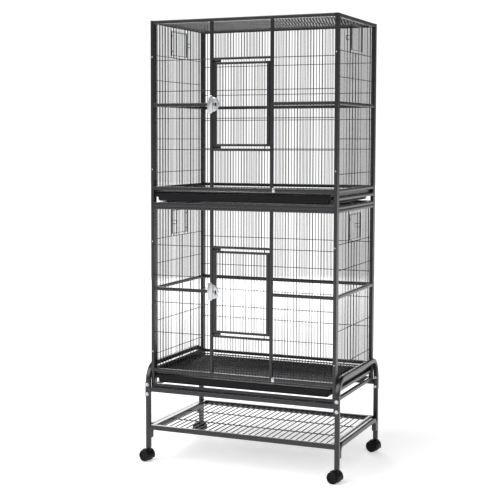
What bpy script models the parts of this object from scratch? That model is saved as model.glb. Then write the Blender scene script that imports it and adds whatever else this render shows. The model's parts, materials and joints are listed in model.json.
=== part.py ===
"""Two-tier wire bird cage on a rolling stand: the working model.

Metres, +Z up. The origin is on the floor, under the middle of the stand, and
the doors face -Y. Two equal cages stand one on the other. Each has four wire
walls, a wire roof, a wire floor and a tray that pull out to the front, one
front door with a turning latch, and a small feeder door in each side wall.
The walls keep their frames and cross wires in full, and one upright wire for
every few of the real ones.
"""

import math

import bmesh
import bpy
from mathutils import Matrix, Vector

# Clearances
REST = 0.0004  # between pieces that touch
SLIP = 0.0005  # round a pin in its hole

# Cage: outside sizes and its tubes
CAGE_WIDTH = 0.813
CAGE_DEPTH = 0.533
CAGE_HEIGHT = 0.766
FRAME_TUBE = 0.014
BAY_BAR = 0.013
SLIM_RAIL = 0.010
ROD = 0.006
WIRE = 0.003
WIRE_BURY = 0.004
WIRE_GAP = 0.0127  # middle to middle of the real upright wires
WIRES_PER_GAP = 16  # real gaps between the upright wires kept here

# Heights above the cage's foot, and drops below its top
RUNNER_FOOT = 0.036
FLOOR_RAIL_FOOT = 0.066
DOORWAY_FOOT = 0.239
DOORWAY_DROP = 0.169
FRONT_WIRE_SPREAD = 0.0565
SIDE_WIRE_STEP = 0.140
CUP_SILL_DROP = 0.141

# Front door
DOORWAY_WIDTH = 0.249
DOOR_SIDE_GAP = 0.0018
DOOR_END_GAP = 0.009
DOOR_STILE = 0.013
DOOR_THICKNESS = 0.012
HINGE_INSET = 0.022
HINGE_PIN_RADIUS = 0.0025
HINGE_PIN_BITE = 0.004
STOP_LENGTH = 0.032
STOP_HEIGHT = 0.005
STOP_THICKNESS = 0.004

# Latch
KEEPER_WIDTH = 0.0235
KEEPER_HEIGHT = 0.074
KEEPER_THICKNESS = 0.0016
LEVER_WIDTH = 0.028
LEVER_HEIGHT = 0.060
LEVER_SLOT = (0.0035, 0.008)  # half sizes of the hole through its plate
LEVER_SLOT_X = 0.0135
LEVER_BAR = 0.0065
LEVER_THICKNESS = 0.004
LEVER_STAND_OFF = 0.0032
LEVER_BOSS_RADIUS = 0.0031
CLIP_SIZE = (0.012, 0.003, 0.018)
CLIP_OFFSET = 0.011

# Feeder doors
CUP_DOOR_WIDTH = 0.150
CUP_DOOR_HEIGHT = 0.103
CUP_DOOR_RISE = 0.009
CUP_DOOR_SIDE_GAP = 0.0025
CUP_ROD = 0.004
CUP_EDGE_ROD = 0.006
CUP_LOOP_REACH = 0.024
CUP_LOOP_HEIGHT = 0.015

# Tray and wire floor
LEDGE_REACH = 0.014
LEDGE_THICKNESS = 0.003
GRILLE_LEDGE_FOOT = 0.0545
GRILLE_LEDGE_REACH = 0.008
GRILLE_LEDGE_THICKNESS = 0.002
WEB_THICKNESS = 0.002
TRAY_FOOT = 0.020
TRAY_WALL = 0.0025
TRAY_SIDE_GAP = 0.004
TRAY_LIP = 0.003
SEAM = 0.00005  # between the tray's floor and walls
LEDGE_SIDE_GAP = 0.0025
GRILLE_SIDE_GAP = 0.002

# Stand
STAND_TUBE = 0.019
STAND_WALL = 0.0015
STAND_TOP = 0.320
CAGE_SIDE_GAP = 0.001
LEG_OUTSET = 0.0055  # from the cage's front face to a leg's middle
RAIL_HEIGHT = 0.019
RAIL_DEPTH = 0.027
PLATE_THICKNESS = 0.0026
PLATE_HEIGHT = 0.065
PLATE_REACH = 0.012
LEG_TOP = 0.3103
END_FRAME_TOP = 0.423
END_FRAME_RADIUS = 0.0685
SHELF_TOP = 0.158
SHELF_RAIL = 0.020
SHELF_SIDE_RAIL = 0.021
SHELF_WIRE = 0.004
SHELF_WIRE_GAP = 0.1016
SHELF_CROSS_WIRES = 2
HOOP_FOOT = 0.100
HOOP_RADIUS = 0.0305

# Bolts
BOLT_RADIUS = 0.003
BOLT_SPACING = 0.040
WASHER_RADIUS = 0.0078
WASHER_THICKNESS = 0.0012
BOLT_HEAD_RADIUS = 0.0062
BOLT_HEAD_HEIGHT = 0.0035
NUT_RADIUS = 0.0055
NUT_HEIGHT = 0.004

# Castors
CASTOR_WHEEL_RADIUS = 0.025
CASTOR_HEADROOM = 0.010  # from the top of a wheel to the foot of the leg
LEG_FOOT = 2 * CASTOR_WHEEL_RADIUS + CASTOR_HEADROOM
CASTOR_TRACK = 0.046
CASTOR_WEB = 0.007
CASTOR_WEB_GAP = 0.0008
CASTOR_HUB_RADIUS = 0.006
CASTOR_TRAIL = 0.012
CASTOR_HEADING = math.radians(-102)
HOOD_GAP = 0.0018
HOOD_WALL = 0.0025
SOCKET_FLANGE = 0.0025
SOCKET_LENGTH = 0.026
STEM_RADIUS = 0.004
STEM_LENGTH = 0.022

# Worked out from the sizes above
HALF_W = CAGE_WIDTH / 2
HALF_D = CAGE_DEPTH / 2
IN_W = HALF_W - FRAME_TUBE
IN_D = HALF_D - FRAME_TUBE
MID_D = HALF_D - FRAME_TUBE / 2
MID_W = HALF_W - FRAME_TUBE / 2
TOP_RAIL_FOOT = CAGE_HEIGHT - FRAME_TUBE
DOORWAY_TOP = CAGE_HEIGHT - DOORWAY_DROP
MID_RAIL = (DOORWAY_FOOT + DOORWAY_TOP) / 2
CUP_SILL = CAGE_HEIGHT - CUP_SILL_DROP
BAY_X = DOORWAY_WIDTH / 2 + BAY_BAR / 2
DOOR_HALF_WIDTH = DOORWAY_WIDTH / 2 - DOOR_SIDE_GAP
DOOR_FOOT = DOORWAY_FOOT + DOOR_END_GAP
DOOR_TOP = DOORWAY_TOP - DOOR_END_GAP
HINGE_X = DOOR_HALF_WIDTH - HINGE_INSET
LEDGE_TOP = RUNNER_FOOT + LEDGE_THICKNESS
LEG_X = HALF_W + CAGE_SIDE_GAP + STAND_TUBE / 2
LEG_Y = HALF_D + LEG_OUTSET
LEG_IN_X = LEG_X - STAND_TUBE / 2
LEG_OUT_Y = LEG_Y + STAND_TUBE / 2
CAGE_FEET = {
    "lower": STAND_TOP + REST,
    "upper": STAND_TOP + REST + CAGE_HEIGHT + REST,
}
ROUND = 12
SMOOTH_ANGLE = math.radians(35)

COAT = ("charcoal_coat", (0.035, 0.036, 0.040), 0.42, 0.0)
BLACK_PLASTIC = ("black_plastic", (0.012, 0.012, 0.014), 0.38, 0.0)
ZINC = ("zinc_plate", (0.62, 0.63, 0.65), 0.28, 1.0)
TREAD = ("castor_tread", (0.015, 0.015, 0.016), 0.6, 0.0)


def clear_scene():
    for obj in list(bpy.data.objects):
        bpy.data.objects.remove(obj, do_unlink=True)


def collection(name):
    made = bpy.data.collections.new(name)
    bpy.context.scene.collection.children.link(made)
    return made


def finish_material(finish):
    """The Principled material of one finish, made once."""
    name, colour, roughness, metallic = finish
    found = bpy.data.materials.get(name)
    if found:
        return found
    made = bpy.data.materials.new(name)
    made.use_nodes = True
    shader = made.node_tree.nodes["Principled BSDF"]
    shader.inputs["Base Color"].default_value = (*colour, 1)
    shader.inputs["Roughness"].default_value = roughness
    shader.inputs["Metallic"].default_value = metallic
    made.diffuse_color = (*colour, 1)
    return made


def box(low, high):
    """A maker of one box, from its lowest to its highest corner."""
    low, high = Vector(low), Vector(high)

    def add(bm):
        made = bmesh.ops.create_cube(bm, size=1)["verts"]
        bmesh.ops.scale(bm, vec=high - low, verts=made)
        bmesh.ops.translate(bm, vec=(low + high) / 2, verts=made)

    return add


def rod(start, end, radius, sides=ROUND):
    """A maker of one round bar between two points."""
    start, end = Vector(start), Vector(end)
    turn = (end - start).to_track_quat("Z", "Y").to_matrix().to_4x4()
    place = Matrix.Translation((start + end) / 2) @ turn

    def add(bm):
        bmesh.ops.create_cone(
            bm, cap_ends=True, segments=sides, radius1=radius, radius2=radius,
            depth=(end - start).length, matrix=place,
        )

    return add


def mesh_of(name, makers):
    bm = bmesh.new()
    for add in makers:
        add(bm)
    bmesh.ops.recalc_face_normals(bm, faces=bm.faces)
    mesh = bpy.data.meshes.new(name)
    bm.to_mesh(mesh)
    bm.free()
    return mesh


def helper(name, makers):
    """A cutter or joining piece, which is no part of the object."""
    obj = bpy.data.objects.new(name, mesh_of(name, makers))
    obj.hide_render = True
    obj.display_type = "WIRE"
    HELPERS.objects.link(obj)
    return obj


def boolean(obj, other, operation, own=False):
    modifier = obj.modifiers.new(operation.title(), "BOOLEAN")
    modifier.operation = operation
    modifier.solver = "EXACT"
    modifier.use_self = own
    modifier.object = other


def as_part(obj, finish, pivot=(0, 0, 0)):
    """Gives a piece its finish and collection, and puts its origin on its pivot."""
    pivot = Vector(pivot)
    obj.data.transform(Matrix.Translation(-pivot) @ obj.matrix_basis)
    obj.matrix_basis = Matrix.Translation(pivot)
    if not obj.data.materials:
        obj.data.materials.append(finish_material(finish))
    for old in list(obj.users_collection):
        old.objects.unlink(obj)
    PARTS.objects.link(obj)
    return obj


def welded(name, makers, finish, pivot=(0, 0, 0)):
    """Overlapping bars joined into one body."""
    first, *others = makers
    if not others:
        return as_part(bpy.data.objects.new(name, mesh_of(name, makers)), finish, pivot)
    obj = as_part(bpy.data.objects.new(name, mesh_of(name, others)), finish, pivot)
    boolean(obj, helper(name + "_joined", [first]), "UNION", own=True)
    return obj


def drilled(obj, makers):
    boolean(obj, helper(obj.name + "_holes", makers), "DIFFERENCE")
    return obj


def turned(name, profile, axis, middle, finish, sides=16):
    """A body of revolution. profile lists (radius, place along the axis), from end to end."""
    mesh = bpy.data.meshes.new(name)
    points = [(radius, 0, along) for radius, along in profile]
    mesh.from_pydata(points, [(i, i + 1) for i in range(len(points) - 1)], [])
    obj = bpy.data.objects.new(name, mesh)
    PARTS.objects.link(obj)
    screw = obj.modifiers.new("Turn", "SCREW")
    screw.steps = screw.render_steps = sides
    screw.use_merge_vertices = True
    screw.merge_threshold = 0.00005
    obj.location = middle
    obj.rotation_mode = "QUATERNION"
    obj.rotation_quaternion = Vector(axis).to_track_quat("Z", "Y")
    mesh.materials.append(finish_material(finish))
    return obj


def to_mesh(obj):
    """The evaluated mesh of a curve, welded, as a plain object. The curve is removed."""
    bpy.context.view_layer.update()
    evaluated = obj.evaluated_get(bpy.context.evaluated_depsgraph_get())
    mesh = bpy.data.meshes.new_from_object(evaluated)
    bm = bmesh.new()
    bm.from_mesh(mesh)
    bmesh.ops.remove_doubles(bm, verts=bm.verts, dist=0.00001)
    bmesh.ops.recalc_face_normals(bm, faces=bm.faces)
    bm.to_mesh(mesh)
    bm.free()
    name, place = obj.name, obj.matrix_world.copy()
    bpy.data.objects.remove(obj, do_unlink=True)
    made = bpy.data.objects.new(name, mesh)
    made.matrix_world = place
    HELPERS.objects.link(made)
    return made


def outline(name, loops, thickness):
    """A flat plate in its own XY plane, centred on it, from closed loops: the edge, then any holes."""
    data = bpy.data.curves.new(name, "CURVE")
    data.dimensions = "2D"
    data.fill_mode = "BOTH"
    data.extrude = thickness / 2
    for loop in loops:
        spline = data.splines.new("POLY")
        spline.points.add(len(loop) - 1)
        for point, (x, y) in zip(spline.points, loop):
            point.co = (x, y, 0, 1)
        spline.use_cyclic_u = True
    obj = bpy.data.objects.new(name, data)
    HELPERS.objects.link(obj)
    return obj


def bent_bar(name, path, width):
    """A square bar along a path of points in one plane."""
    half = width / 2
    section = bpy.data.curves.new(name + "_section", "CURVE")
    square = section.splines.new("POLY")
    square.points.add(3)
    for point, (x, y) in zip(square.points, ((-half, -half), (half, -half), (half, half), (-half, half))):
        point.co = (x, y, 0, 1)
    square.use_cyclic_u = True
    section_obj = bpy.data.objects.new(name + "_section", section)
    section_obj.hide_render = True
    section_obj.display_type = "WIRE"
    HELPERS.objects.link(section_obj)
    data = bpy.data.curves.new(name, "CURVE")
    data.dimensions = "3D"
    data.bevel_mode = "OBJECT"
    data.bevel_object = section_obj
    data.use_fill_caps = True
    spline = data.splines.new("POLY")
    spline.points.add(len(path) - 1)
    for point, place in zip(spline.points, path):
        point.co = (*place, 1)
    obj = bpy.data.objects.new(name, data)
    HELPERS.objects.link(obj)
    return to_mesh(obj)


def arc(middle, radius, start, end, steps):
    """Points on an arc in a plane, from one angle to another."""
    angles = [start + (end - start) * i / steps for i in range(steps + 1)]
    return [(middle[0] + radius * math.cos(a), middle[1] + radius * math.sin(a)) for a in angles]


def arch(foot, top, half_span, radius, x, steps=6):
    """An upside-down U in the plane of one x: up, round a bend, across, round a bend and down."""
    front = arc((-half_span + radius, top - radius), radius, math.pi, math.pi / 2, steps)
    back = arc((half_span - radius, top - radius), radius, math.pi / 2, 0, steps)
    route = [(-half_span, foot), *front, *back, (half_span, foot)]
    return [(x, y, z) for y, z in route]


def spread(low, high, gap):
    """Places between two rails, at the gap, centred between them."""
    count = max(1, round((high - low) / gap) - 1)
    step = (high - low) / (count + 1)
    return [low + step * (i + 1) for i in range(count)]


def uprights(low, high, foot, top, at):
    """Upright wires between two rails. at turns (along, height) pairs into a box."""
    half = WIRE / 2
    return [
        at(u - half, u + half, foot - WIRE_BURY, top + WIRE_BURY, half)
        for u in spread(low, high, WIRE_GAP * WIRES_PER_GAP)
    ]


def front_at(y, base):
    """Boxes in a front or back wall: along X, up Z, half a thickness either side of y."""

    def at(x0, x1, z0, z1, half):
        return box((x0, y - half, base + z0), (x1, y + half, base + z1))

    return at


def side_at(x, base):
    """Boxes in a side wall: along Y, up Z, half a thickness either side of x."""

    def at(y0, y1, z0, z1, half):
        return box((x - half, y0, base + z0), (x + half, y1, base + z1))

    return at


def cross_wires(low, high, heights, at):
    half = WIRE / 2
    return [at(low - WIRE_BURY, high + WIRE_BURY, z - half, z + half, half) for z in heights]


def long_wall_frame(at):
    """Posts and full-width rails that the front and the back wall share."""
    half = FRAME_TUBE / 2
    bury = FRAME_TUBE / 2
    rails = [0, FLOOR_RAIL_FOOT, TOP_RAIL_FOOT]
    made = [
        at(-HALF_W, -IN_W, 0, CAGE_HEIGHT, half),
        at(IN_W, HALF_W, 0, CAGE_HEIGHT, half),
    ]
    made += [at(-IN_W - bury, IN_W + bury, z, z + FRAME_TUBE, half) for z in rails]
    return made


def front_wire_heights():
    half = SLIM_RAIL / 2
    return [
        DOORWAY_FOOT - half,
        MID_RAIL - FRONT_WIRE_SPREAD,
        MID_RAIL + FRONT_WIRE_SPREAD,
        DOORWAY_TOP + half,
    ]


def front_wall(tier, base):
    """The front wall: three bays, with the doorway in the middle one."""
    at = front_at(-MID_D, base)
    half = FRAME_TUBE / 2
    floor_top = FLOOR_RAIL_FOOT + FRAME_TUBE
    inner = BAY_X - BAY_BAR / 2
    outer = BAY_X + BAY_BAR / 2
    made = long_wall_frame(at)
    for side in (-1, 1):
        low, high = sorted((side * inner, side * outer))
        made.append(at(low, high, floor_top - WIRE_BURY, TOP_RAIL_FOOT + WIRE_BURY, half))
        low, high = sorted((side * outer, side * IN_W))
        made.append(
            at(low - WIRE_BURY, high + WIRE_BURY, MID_RAIL - half, MID_RAIL + half, half)
        )
        made += cross_wires(low, high, front_wire_heights(), at)
        made += uprights(low, high, floor_top, TOP_RAIL_FOOT, at)
    for low in (DOORWAY_FOOT - SLIM_RAIL, DOORWAY_TOP):
        made.append(at(-inner - WIRE_BURY, inner + WIRE_BURY, low, low + SLIM_RAIL, half))
    made += uprights(-inner, inner, floor_top, DOORWAY_FOOT - SLIM_RAIL, at)
    made += uprights(-inner, inner, DOORWAY_TOP + SLIM_RAIL, TOP_RAIL_FOOT, at)
    stop_at = front_at(-IN_D - STOP_THICKNESS / 2, base)
    gap_middles = (DOORWAY_FOOT + DOOR_END_GAP / 2, DOORWAY_TOP - DOOR_END_GAP / 2)
    for z in gap_middles:
        made.append(
            stop_at(-inner - WIRE_BURY, -inner + STOP_LENGTH, z - STOP_HEIGHT / 2,
                    z + STOP_HEIGHT / 2, STOP_THICKNESS / 2 - REST)
        )
    wall = welded(f"{tier}_front_panel", made, COAT)
    bite = HINGE_PIN_BITE + 2 * SLIP
    hole = HINGE_PIN_RADIUS + SLIP
    drill = [
        rod((HINGE_X, -MID_D, base + DOORWAY_FOOT - bite),
            (HINGE_X, -MID_D, base + DOORWAY_FOOT + SLIP), hole),
        rod((HINGE_X, -MID_D, base + DOORWAY_TOP - SLIP),
            (HINGE_X, -MID_D, base + DOORWAY_TOP + bite), hole),
    ]
    return drilled(wall, drill)


def back_wall(tier, base):
    at = front_at(MID_D, base)
    half = FRAME_TUBE / 2
    floor_top = FLOOR_RAIL_FOOT + FRAME_TUBE
    made = long_wall_frame(at)
    for z in (RUNNER_FOOT, MID_RAIL - half):
        made.append(at(-IN_W - half, IN_W + half, z, z + FRAME_TUBE, half))
    made += cross_wires(-IN_W, IN_W, front_wire_heights(), at)
    made += uprights(-IN_W, IN_W, floor_top, TOP_RAIL_FOOT, at)
    return welded(f"{tier}_back_panel", made, COAT)


def side_wall(tier, hand, base):
    """A side wall, with the feeder opening at its top and the runners for the tray and floor."""
    at = side_at(hand * MID_W, base)
    half = FRAME_TUBE / 2
    end = IN_D - REST
    inner = end - FRAME_TUBE
    floor_top = FLOOR_RAIL_FOOT + FRAME_TUBE
    made = [
        at(-end, -inner, 0, CAGE_HEIGHT, half),
        at(inner, end, 0, CAGE_HEIGHT, half),
    ]
    for z in (0, RUNNER_FOOT, FLOOR_RAIL_FOOT, MID_RAIL - half, TOP_RAIL_FOOT):
        made.append(at(-inner - half, inner + half, z, z + FRAME_TUBE, half))
    wires = [
        MID_RAIL - 2 * SIDE_WIRE_STEP,
        MID_RAIL - SIDE_WIRE_STEP,
        (MID_RAIL + CUP_SILL) / 2,
        CUP_SILL,
    ]
    made += cross_wires(-inner, inner, wires, at)
    jamb = CUP_DOOR_WIDTH / 2 + CUP_DOOR_SIDE_GAP
    made += uprights(-inner, inner, floor_top, CUP_SILL, at)
    for low, high in ((-inner, -jamb - ROD), (jamb + ROD, inner)):
        made += uprights(low, high, CUP_SILL, TOP_RAIL_FOOT, at)
    for y in (-jamb - ROD, jamb):
        made.append(at(y, y + ROD, CUP_SILL, TOP_RAIL_FOOT + WIRE_BURY, ROD / 2))
    made += runners(hand, base, end)
    return welded(f"{tier}_{'right' if hand > 0 else 'left'}_panel", made, COAT)


def runners(hand, base, end):
    """The web and the two ledges inside a side wall that carry the tray and the wire floor."""

    def strip(x_in, x_out, foot, top):
        low, high = sorted((hand * x_in, hand * x_out))
        return box((low, -end + REST, base + foot), (high, end - REST, base + top))

    bury = IN_W + WEB_THICKNESS
    grille_top = GRILLE_LEDGE_FOOT + GRILLE_LEDGE_THICKNESS
    return [
        strip(IN_W - LEDGE_REACH, bury, RUNNER_FOOT, LEDGE_TOP),
        strip(IN_W, bury, RUNNER_FOOT + REST, FLOOR_RAIL_FOOT + FRAME_TUBE / 2),
        strip(IN_W - GRILLE_LEDGE_REACH, bury, GRILLE_LEDGE_FOOT, grille_top),
    ]


def flat_grid(name, half_x, low_y, high_y, z, finish_rods, pivot=(0, 0, 0)):
    """A flat wire mat: an edge of rods, cross rods, and wires from front to back."""
    half = ROD / 2

    def bar(x0, x1, y0, y1, thick):
        return box((x0, y0, z - thick / 2), (x1, y1, z + thick / 2))

    made = [
        bar(-half_x, half_x, low_y, low_y + ROD, ROD),
        bar(-half_x, half_x, high_y - ROD, high_y, ROD),
        bar(-half_x, -half_x + ROD, low_y, high_y, ROD),
        bar(half_x - ROD, half_x, low_y, high_y, ROD),
    ]
    for y in spread(low_y, high_y, finish_rods):
        made.append(bar(-half_x + half, half_x - half, y - WIRE / 2, y + WIRE / 2, WIRE))
    for x in spread(-half_x, half_x, WIRE_GAP * WIRES_PER_GAP):
        made.append(bar(x - WIRE / 2, x + WIRE / 2, low_y + half, high_y - half, WIRE))
    return welded(name, made, COAT, pivot)


def roof(tier, base):
    z = base + CAGE_HEIGHT - ROD
    return flat_grid(f"{tier}_top_panel", IN_W - REST, -IN_D + REST, IN_D - REST, z,
                     CAGE_DEPTH / 4)


def wire_floor(tier, base):
    z = base + GRILLE_LEDGE_FOOT + GRILLE_LEDGE_THICKNESS + REST + ROD / 2
    low_y = -HALF_D + ROD
    return flat_grid(f"{tier}_floor_grille", IN_W - GRILLE_SIDE_GAP, low_y,
                     IN_D - GRILLE_SIDE_GAP, z, CAGE_DEPTH / 4, (0, low_y, z))


def tray(tier, base):
    """The pull-out tray: a shallow pan whose rim turns down over the ledges.

    It is one moulding, made here as its floor and the ring of its walls.
    """
    skirt = IN_W - TRAY_SIDE_GAP
    body = IN_W - LEDGE_REACH - LEDGE_SIDE_GAP
    inner = body - TRAY_WALL
    front, back = -HALF_D + REST, IN_D - TRAY_SIDE_GAP
    low_front, low_back = front + TRAY_LIP, back - TRAY_LIP
    foot, lip_foot = base + TRAY_FOOT, base + LEDGE_TOP + REST
    top = base + GRILLE_LEDGE_FOOT - REST
    floor_top = foot + TRAY_WALL
    pivot = (0, front, foot)
    name = f"{tier}_tray"
    floor = box((-body, low_front, foot), (body, low_back, floor_top))
    as_part(bpy.data.objects.new(name, mesh_of(name, [floor])), BLACK_PLASTIC, pivot)
    name += "_walls"
    pan = box((-body, low_front, floor_top + SEAM), (body, low_back, top - TRAY_LIP / 2))
    walls = as_part(bpy.data.objects.new(name, mesh_of(name, [pan])), BLACK_PLASTIC, pivot)
    rim = helper(f"{name}_rim", [box((-skirt, front, lip_foot), (skirt, back, top))])
    boolean(walls, rim, "UNION")
    near, far = low_front + TRAY_WALL, low_back - TRAY_WALL
    hollow = helper(f"{name}_hollow", [box((-inner, near, foot), (inner, far, top + REST))])
    boolean(walls, hollow, "DIFFERENCE")
    under = lip_foot - REST
    grooves = [
        box((-skirt + TRAY_LIP, front + 2 * TRAY_LIP, under), (-body, low_back, top - TRAY_LIP)),
        box((body, front + 2 * TRAY_LIP, under), (skirt - TRAY_LIP, low_back, top - TRAY_LIP)),
    ]
    return drilled(walls, grooves)


def front_door(tier, base):
    """The front door, with a pivot pin at the top and the bottom of its hinge side."""
    at = front_at(-MID_D, base)
    half = DOOR_THICKNESS / 2
    wide = DOOR_HALF_WIDTH
    inner = wide - DOOR_STILE
    made = [
        at(-wide, -inner, DOOR_FOOT, DOOR_TOP, half),
        at(inner, wide, DOOR_FOOT, DOOR_TOP, half),
        at(-inner - WIRE_BURY, inner + WIRE_BURY, DOOR_FOOT, DOOR_FOOT + SLIM_RAIL, half),
        at(-inner - WIRE_BURY, inner + WIRE_BURY, DOOR_TOP - SLIM_RAIL, DOOR_TOP, half),
    ]
    made += uprights(-inner, inner, DOOR_FOOT + SLIM_RAIL, DOOR_TOP - SLIM_RAIL, at)
    made += cross_wires(-inner, inner, [MID_RAIL], at)
    bite = DOOR_END_GAP + HINGE_PIN_BITE
    for z0, z1 in ((DOOR_FOOT - bite, DOOR_FOOT + WIRE_BURY), (DOOR_TOP - WIRE_BURY, DOOR_TOP + bite)):
        made.append(
            rod((HINGE_X, -MID_D, base + z0), (HINGE_X, -MID_D, base + z1), HINGE_PIN_RADIUS)
        )
    return welded(f"{tier}_door", made, COAT, (HINGE_X, -MID_D, base + MID_RAIL))


def upright_plate(name, loops, thickness, x, y, z):
    """A flat plate that stands facing -Y, its outline given as (along X, up Z)."""
    obj = outline(name, loops, thickness)
    obj.matrix_world = Matrix.Translation((x, y, z)) @ Matrix.Rotation(math.pi / 2, 4, "X")
    return to_mesh(obj)


def rounded(half_x, half_z, radius, steps=3):
    """A rectangle with round corners, anticlockwise."""
    x, z = half_x - radius, half_z - radius
    loop = []
    for corner, (sx, sz) in enumerate(((1, -1), (1, 1), (-1, 1), (-1, -1))):
        start = (corner - 1) * math.pi / 2
        loop += arc((sx * x, sz * z), radius, start, start + math.pi / 2, steps)
    return loop


def dee(width, half_height, steps=8):
    """The edge of a D whose straight side is at x = 0."""
    return [
        (width * math.cos(a), half_height * math.sin(a))
        for a in (-math.pi / 2 + math.pi * i / steps for i in range(steps + 1))
    ]


def latch(tier, base):
    """The keeper on the bay bar, and the lever that turns on the door's free stile."""
    z = base + MID_RAIL
    bar_edge = -DOORWAY_WIDTH / 2
    face = -HALF_D - REST
    keeper = upright_plate(
        f"{tier}_latch_plate",
        [rounded(KEEPER_WIDTH / 2, KEEPER_HEIGHT / 2, KEEPER_WIDTH / 3)],
        KEEPER_THICKNESS, bar_edge - KEEPER_WIDTH / 2, face - KEEPER_THICKNESS / 2, z,
    )
    as_part(keeper, ZINC)
    stile_edge = -DOOR_HALF_WIDTH
    door_face = -MID_D - DOOR_THICKNESS / 2 - REST
    back = door_face - LEVER_STAND_OFF
    half_x, half_z = LEVER_SLOT
    slot = [(LEVER_SLOT_X + x, dz) for x, dz in rounded(half_x, half_z, half_x - REST)]
    lever = upright_plate(
        f"{tier}_latch_lever",
        [dee(LEVER_WIDTH, LEVER_HEIGHT / 2), slot],
        LEVER_THICKNESS, stile_edge, back - LEVER_THICKNESS / 2, z,
    )
    pivot = (stile_edge + LEVER_BAR / 2, back, z)
    as_part(lever, ZINC, pivot)
    boss = rod((0, -LEVER_THICKNESS / 2, 0), (0, LEVER_STAND_OFF, 0), LEVER_BOSS_RADIUS)
    post = helper(f"{tier}_latch_boss", [boss])
    post.location = pivot
    boolean(lever, post, "UNION")


def floor_clip(tier, base):
    """The bright clip on the floor rail beside the bay bar."""
    wide, thick, high = CLIP_SIZE
    x = BAY_X + CLIP_OFFSET
    y = -HALF_D - REST
    z = base + FLOOR_RAIL_FOOT + FRAME_TUBE / 2
    plate = box((x - wide / 2, y - thick, z - high / 2), (x + wide / 2, y, z + high / 2))
    obj = as_part(
        bpy.data.objects.new(f"{tier}_floor_clip", mesh_of("clip", [plate])), ZINC
    )
    edges = obj.modifiers.new("Corners", "BEVEL")
    edges.width = thick / 3
    edges.segments = 1


def feeder_door(tier, hand, base, closing):
    """A small wire door. hand is its wall's side of X, closing its free edge's side of Y."""
    x = hand * MID_W
    at = side_at(x, base)
    foot = CUP_SILL + CUP_DOOR_RISE
    top = foot + CUP_DOOR_HEIGHT
    wide = CUP_DOOR_WIDTH / 2
    half = CUP_ROD / 2
    thick = CUP_EDGE_ROD / 2
    middle = (foot + top) / 2
    hinge_y = -closing * (wide - half)
    low, high = sorted((closing * wide, closing * (wide - CUP_EDGE_ROD)))
    made = [
        at(hinge_y - half, hinge_y + half, foot, top, half),
        at(low, high, foot, top, thick),
        at(-wide + half, wide - half, foot, foot + CUP_ROD, half),
        at(-wide + half, wide - half, top - CUP_ROD, top, half),
    ]
    made += uprights(-wide, wide, foot + CUP_ROD, top - CUP_ROD, at)
    loop_y = closing * (wide - CUP_EDGE_ROD / 2)
    loop_in = x - hand * CUP_LOOP_REACH
    bar = WIRE / 2
    for z in (middle - CUP_LOOP_HEIGHT / 2, middle + CUP_LOOP_HEIGHT / 2):
        near, far = sorted((x, loop_in))
        made.append(box((near, loop_y - bar, base + z - bar), (far, loop_y + bar, base + z + bar)))
    near, far = sorted((loop_in, loop_in + hand * WIRE))
    made.append(
        box((near, loop_y - bar, base + middle - CUP_LOOP_HEIGHT / 2 - bar),
            (far, loop_y + bar, base + middle + CUP_LOOP_HEIGHT / 2 + bar))
    )
    side = "right" if hand > 0 else "left"
    return welded(f"{tier}_cup_door_{side}", made, COAT, (x, hinge_y, base + middle))


def cage(tier, closing_sign):
    base = CAGE_FEET[tier]
    front_wall(tier, base)
    back_wall(tier, base)
    for hand in (-1, 1):
        side_wall(tier, hand, base)
        feeder_door(tier, hand, base, closing=hand * closing_sign)
    roof(tier, base)
    wire_floor(tier, base)
    tray(tier, base)
    front_door(tier, base)
    latch(tier, base)
    floor_clip(tier, base)


def corner_name(sx, sy):
    return f"{'front' if sy < 0 else 'rear'}_{'left' if sx < 0 else 'right'}"


def bolt_heights():
    middle = STAND_TOP - RAIL_HEIGHT / 2
    return (middle - BOLT_SPACING / 2, middle + BOLT_SPACING / 2)


def bolt_holes(sx, sy, heights):
    """Cutters for the bolts of one corner, through everything there."""
    reach = STAND_TUBE
    y0, y1 = sorted((sy * (LEG_OUT_Y + reach), sy * (LEG_OUT_Y - 2 * reach)))
    return [
        rod((sx * LEG_X, y0, z), (sx * LEG_X, y1, z), BOLT_RADIUS + SLIP) for z in heights
    ]


def leg(sx, sy):
    """A hollow leg, drilled for its bolt."""
    half = STAND_TUBE / 2
    inner = half - STAND_WALL
    square = ((-1, -1), (1, -1), (1, 1), (-1, 1))
    loops = [[(a * size, b * size) for a, b in square] for size in (half, inner)]
    tube = outline(f"{corner_name(sx, sy)}_leg", loops, LEG_TOP - LEG_FOOT)
    tube.location = (sx * LEG_X, sy * LEG_Y, (LEG_TOP + LEG_FOOT) / 2)
    made = as_part(to_mesh(tube), COAT)
    return drilled(made, bolt_holes(sx, sy, bolt_heights()[:1]))


def end_frame(sx):
    """The arch over the end of the lower cage's foot, standing on the two legs."""
    half = STAND_TUBE / 2
    path = arch(LEG_TOP + REST, END_FRAME_TOP - half, LEG_Y, END_FRAME_RADIUS, sx * LEG_X)
    name = f"end_frame_{'right' if sx > 0 else 'left'}"
    made = as_part(bent_bar(name, path, STAND_TUBE), COAT)
    upper = bolt_heights()[1:]
    return drilled(made, bolt_holes(sx, -1, upper) + bolt_holes(sx, 1, upper))


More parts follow.
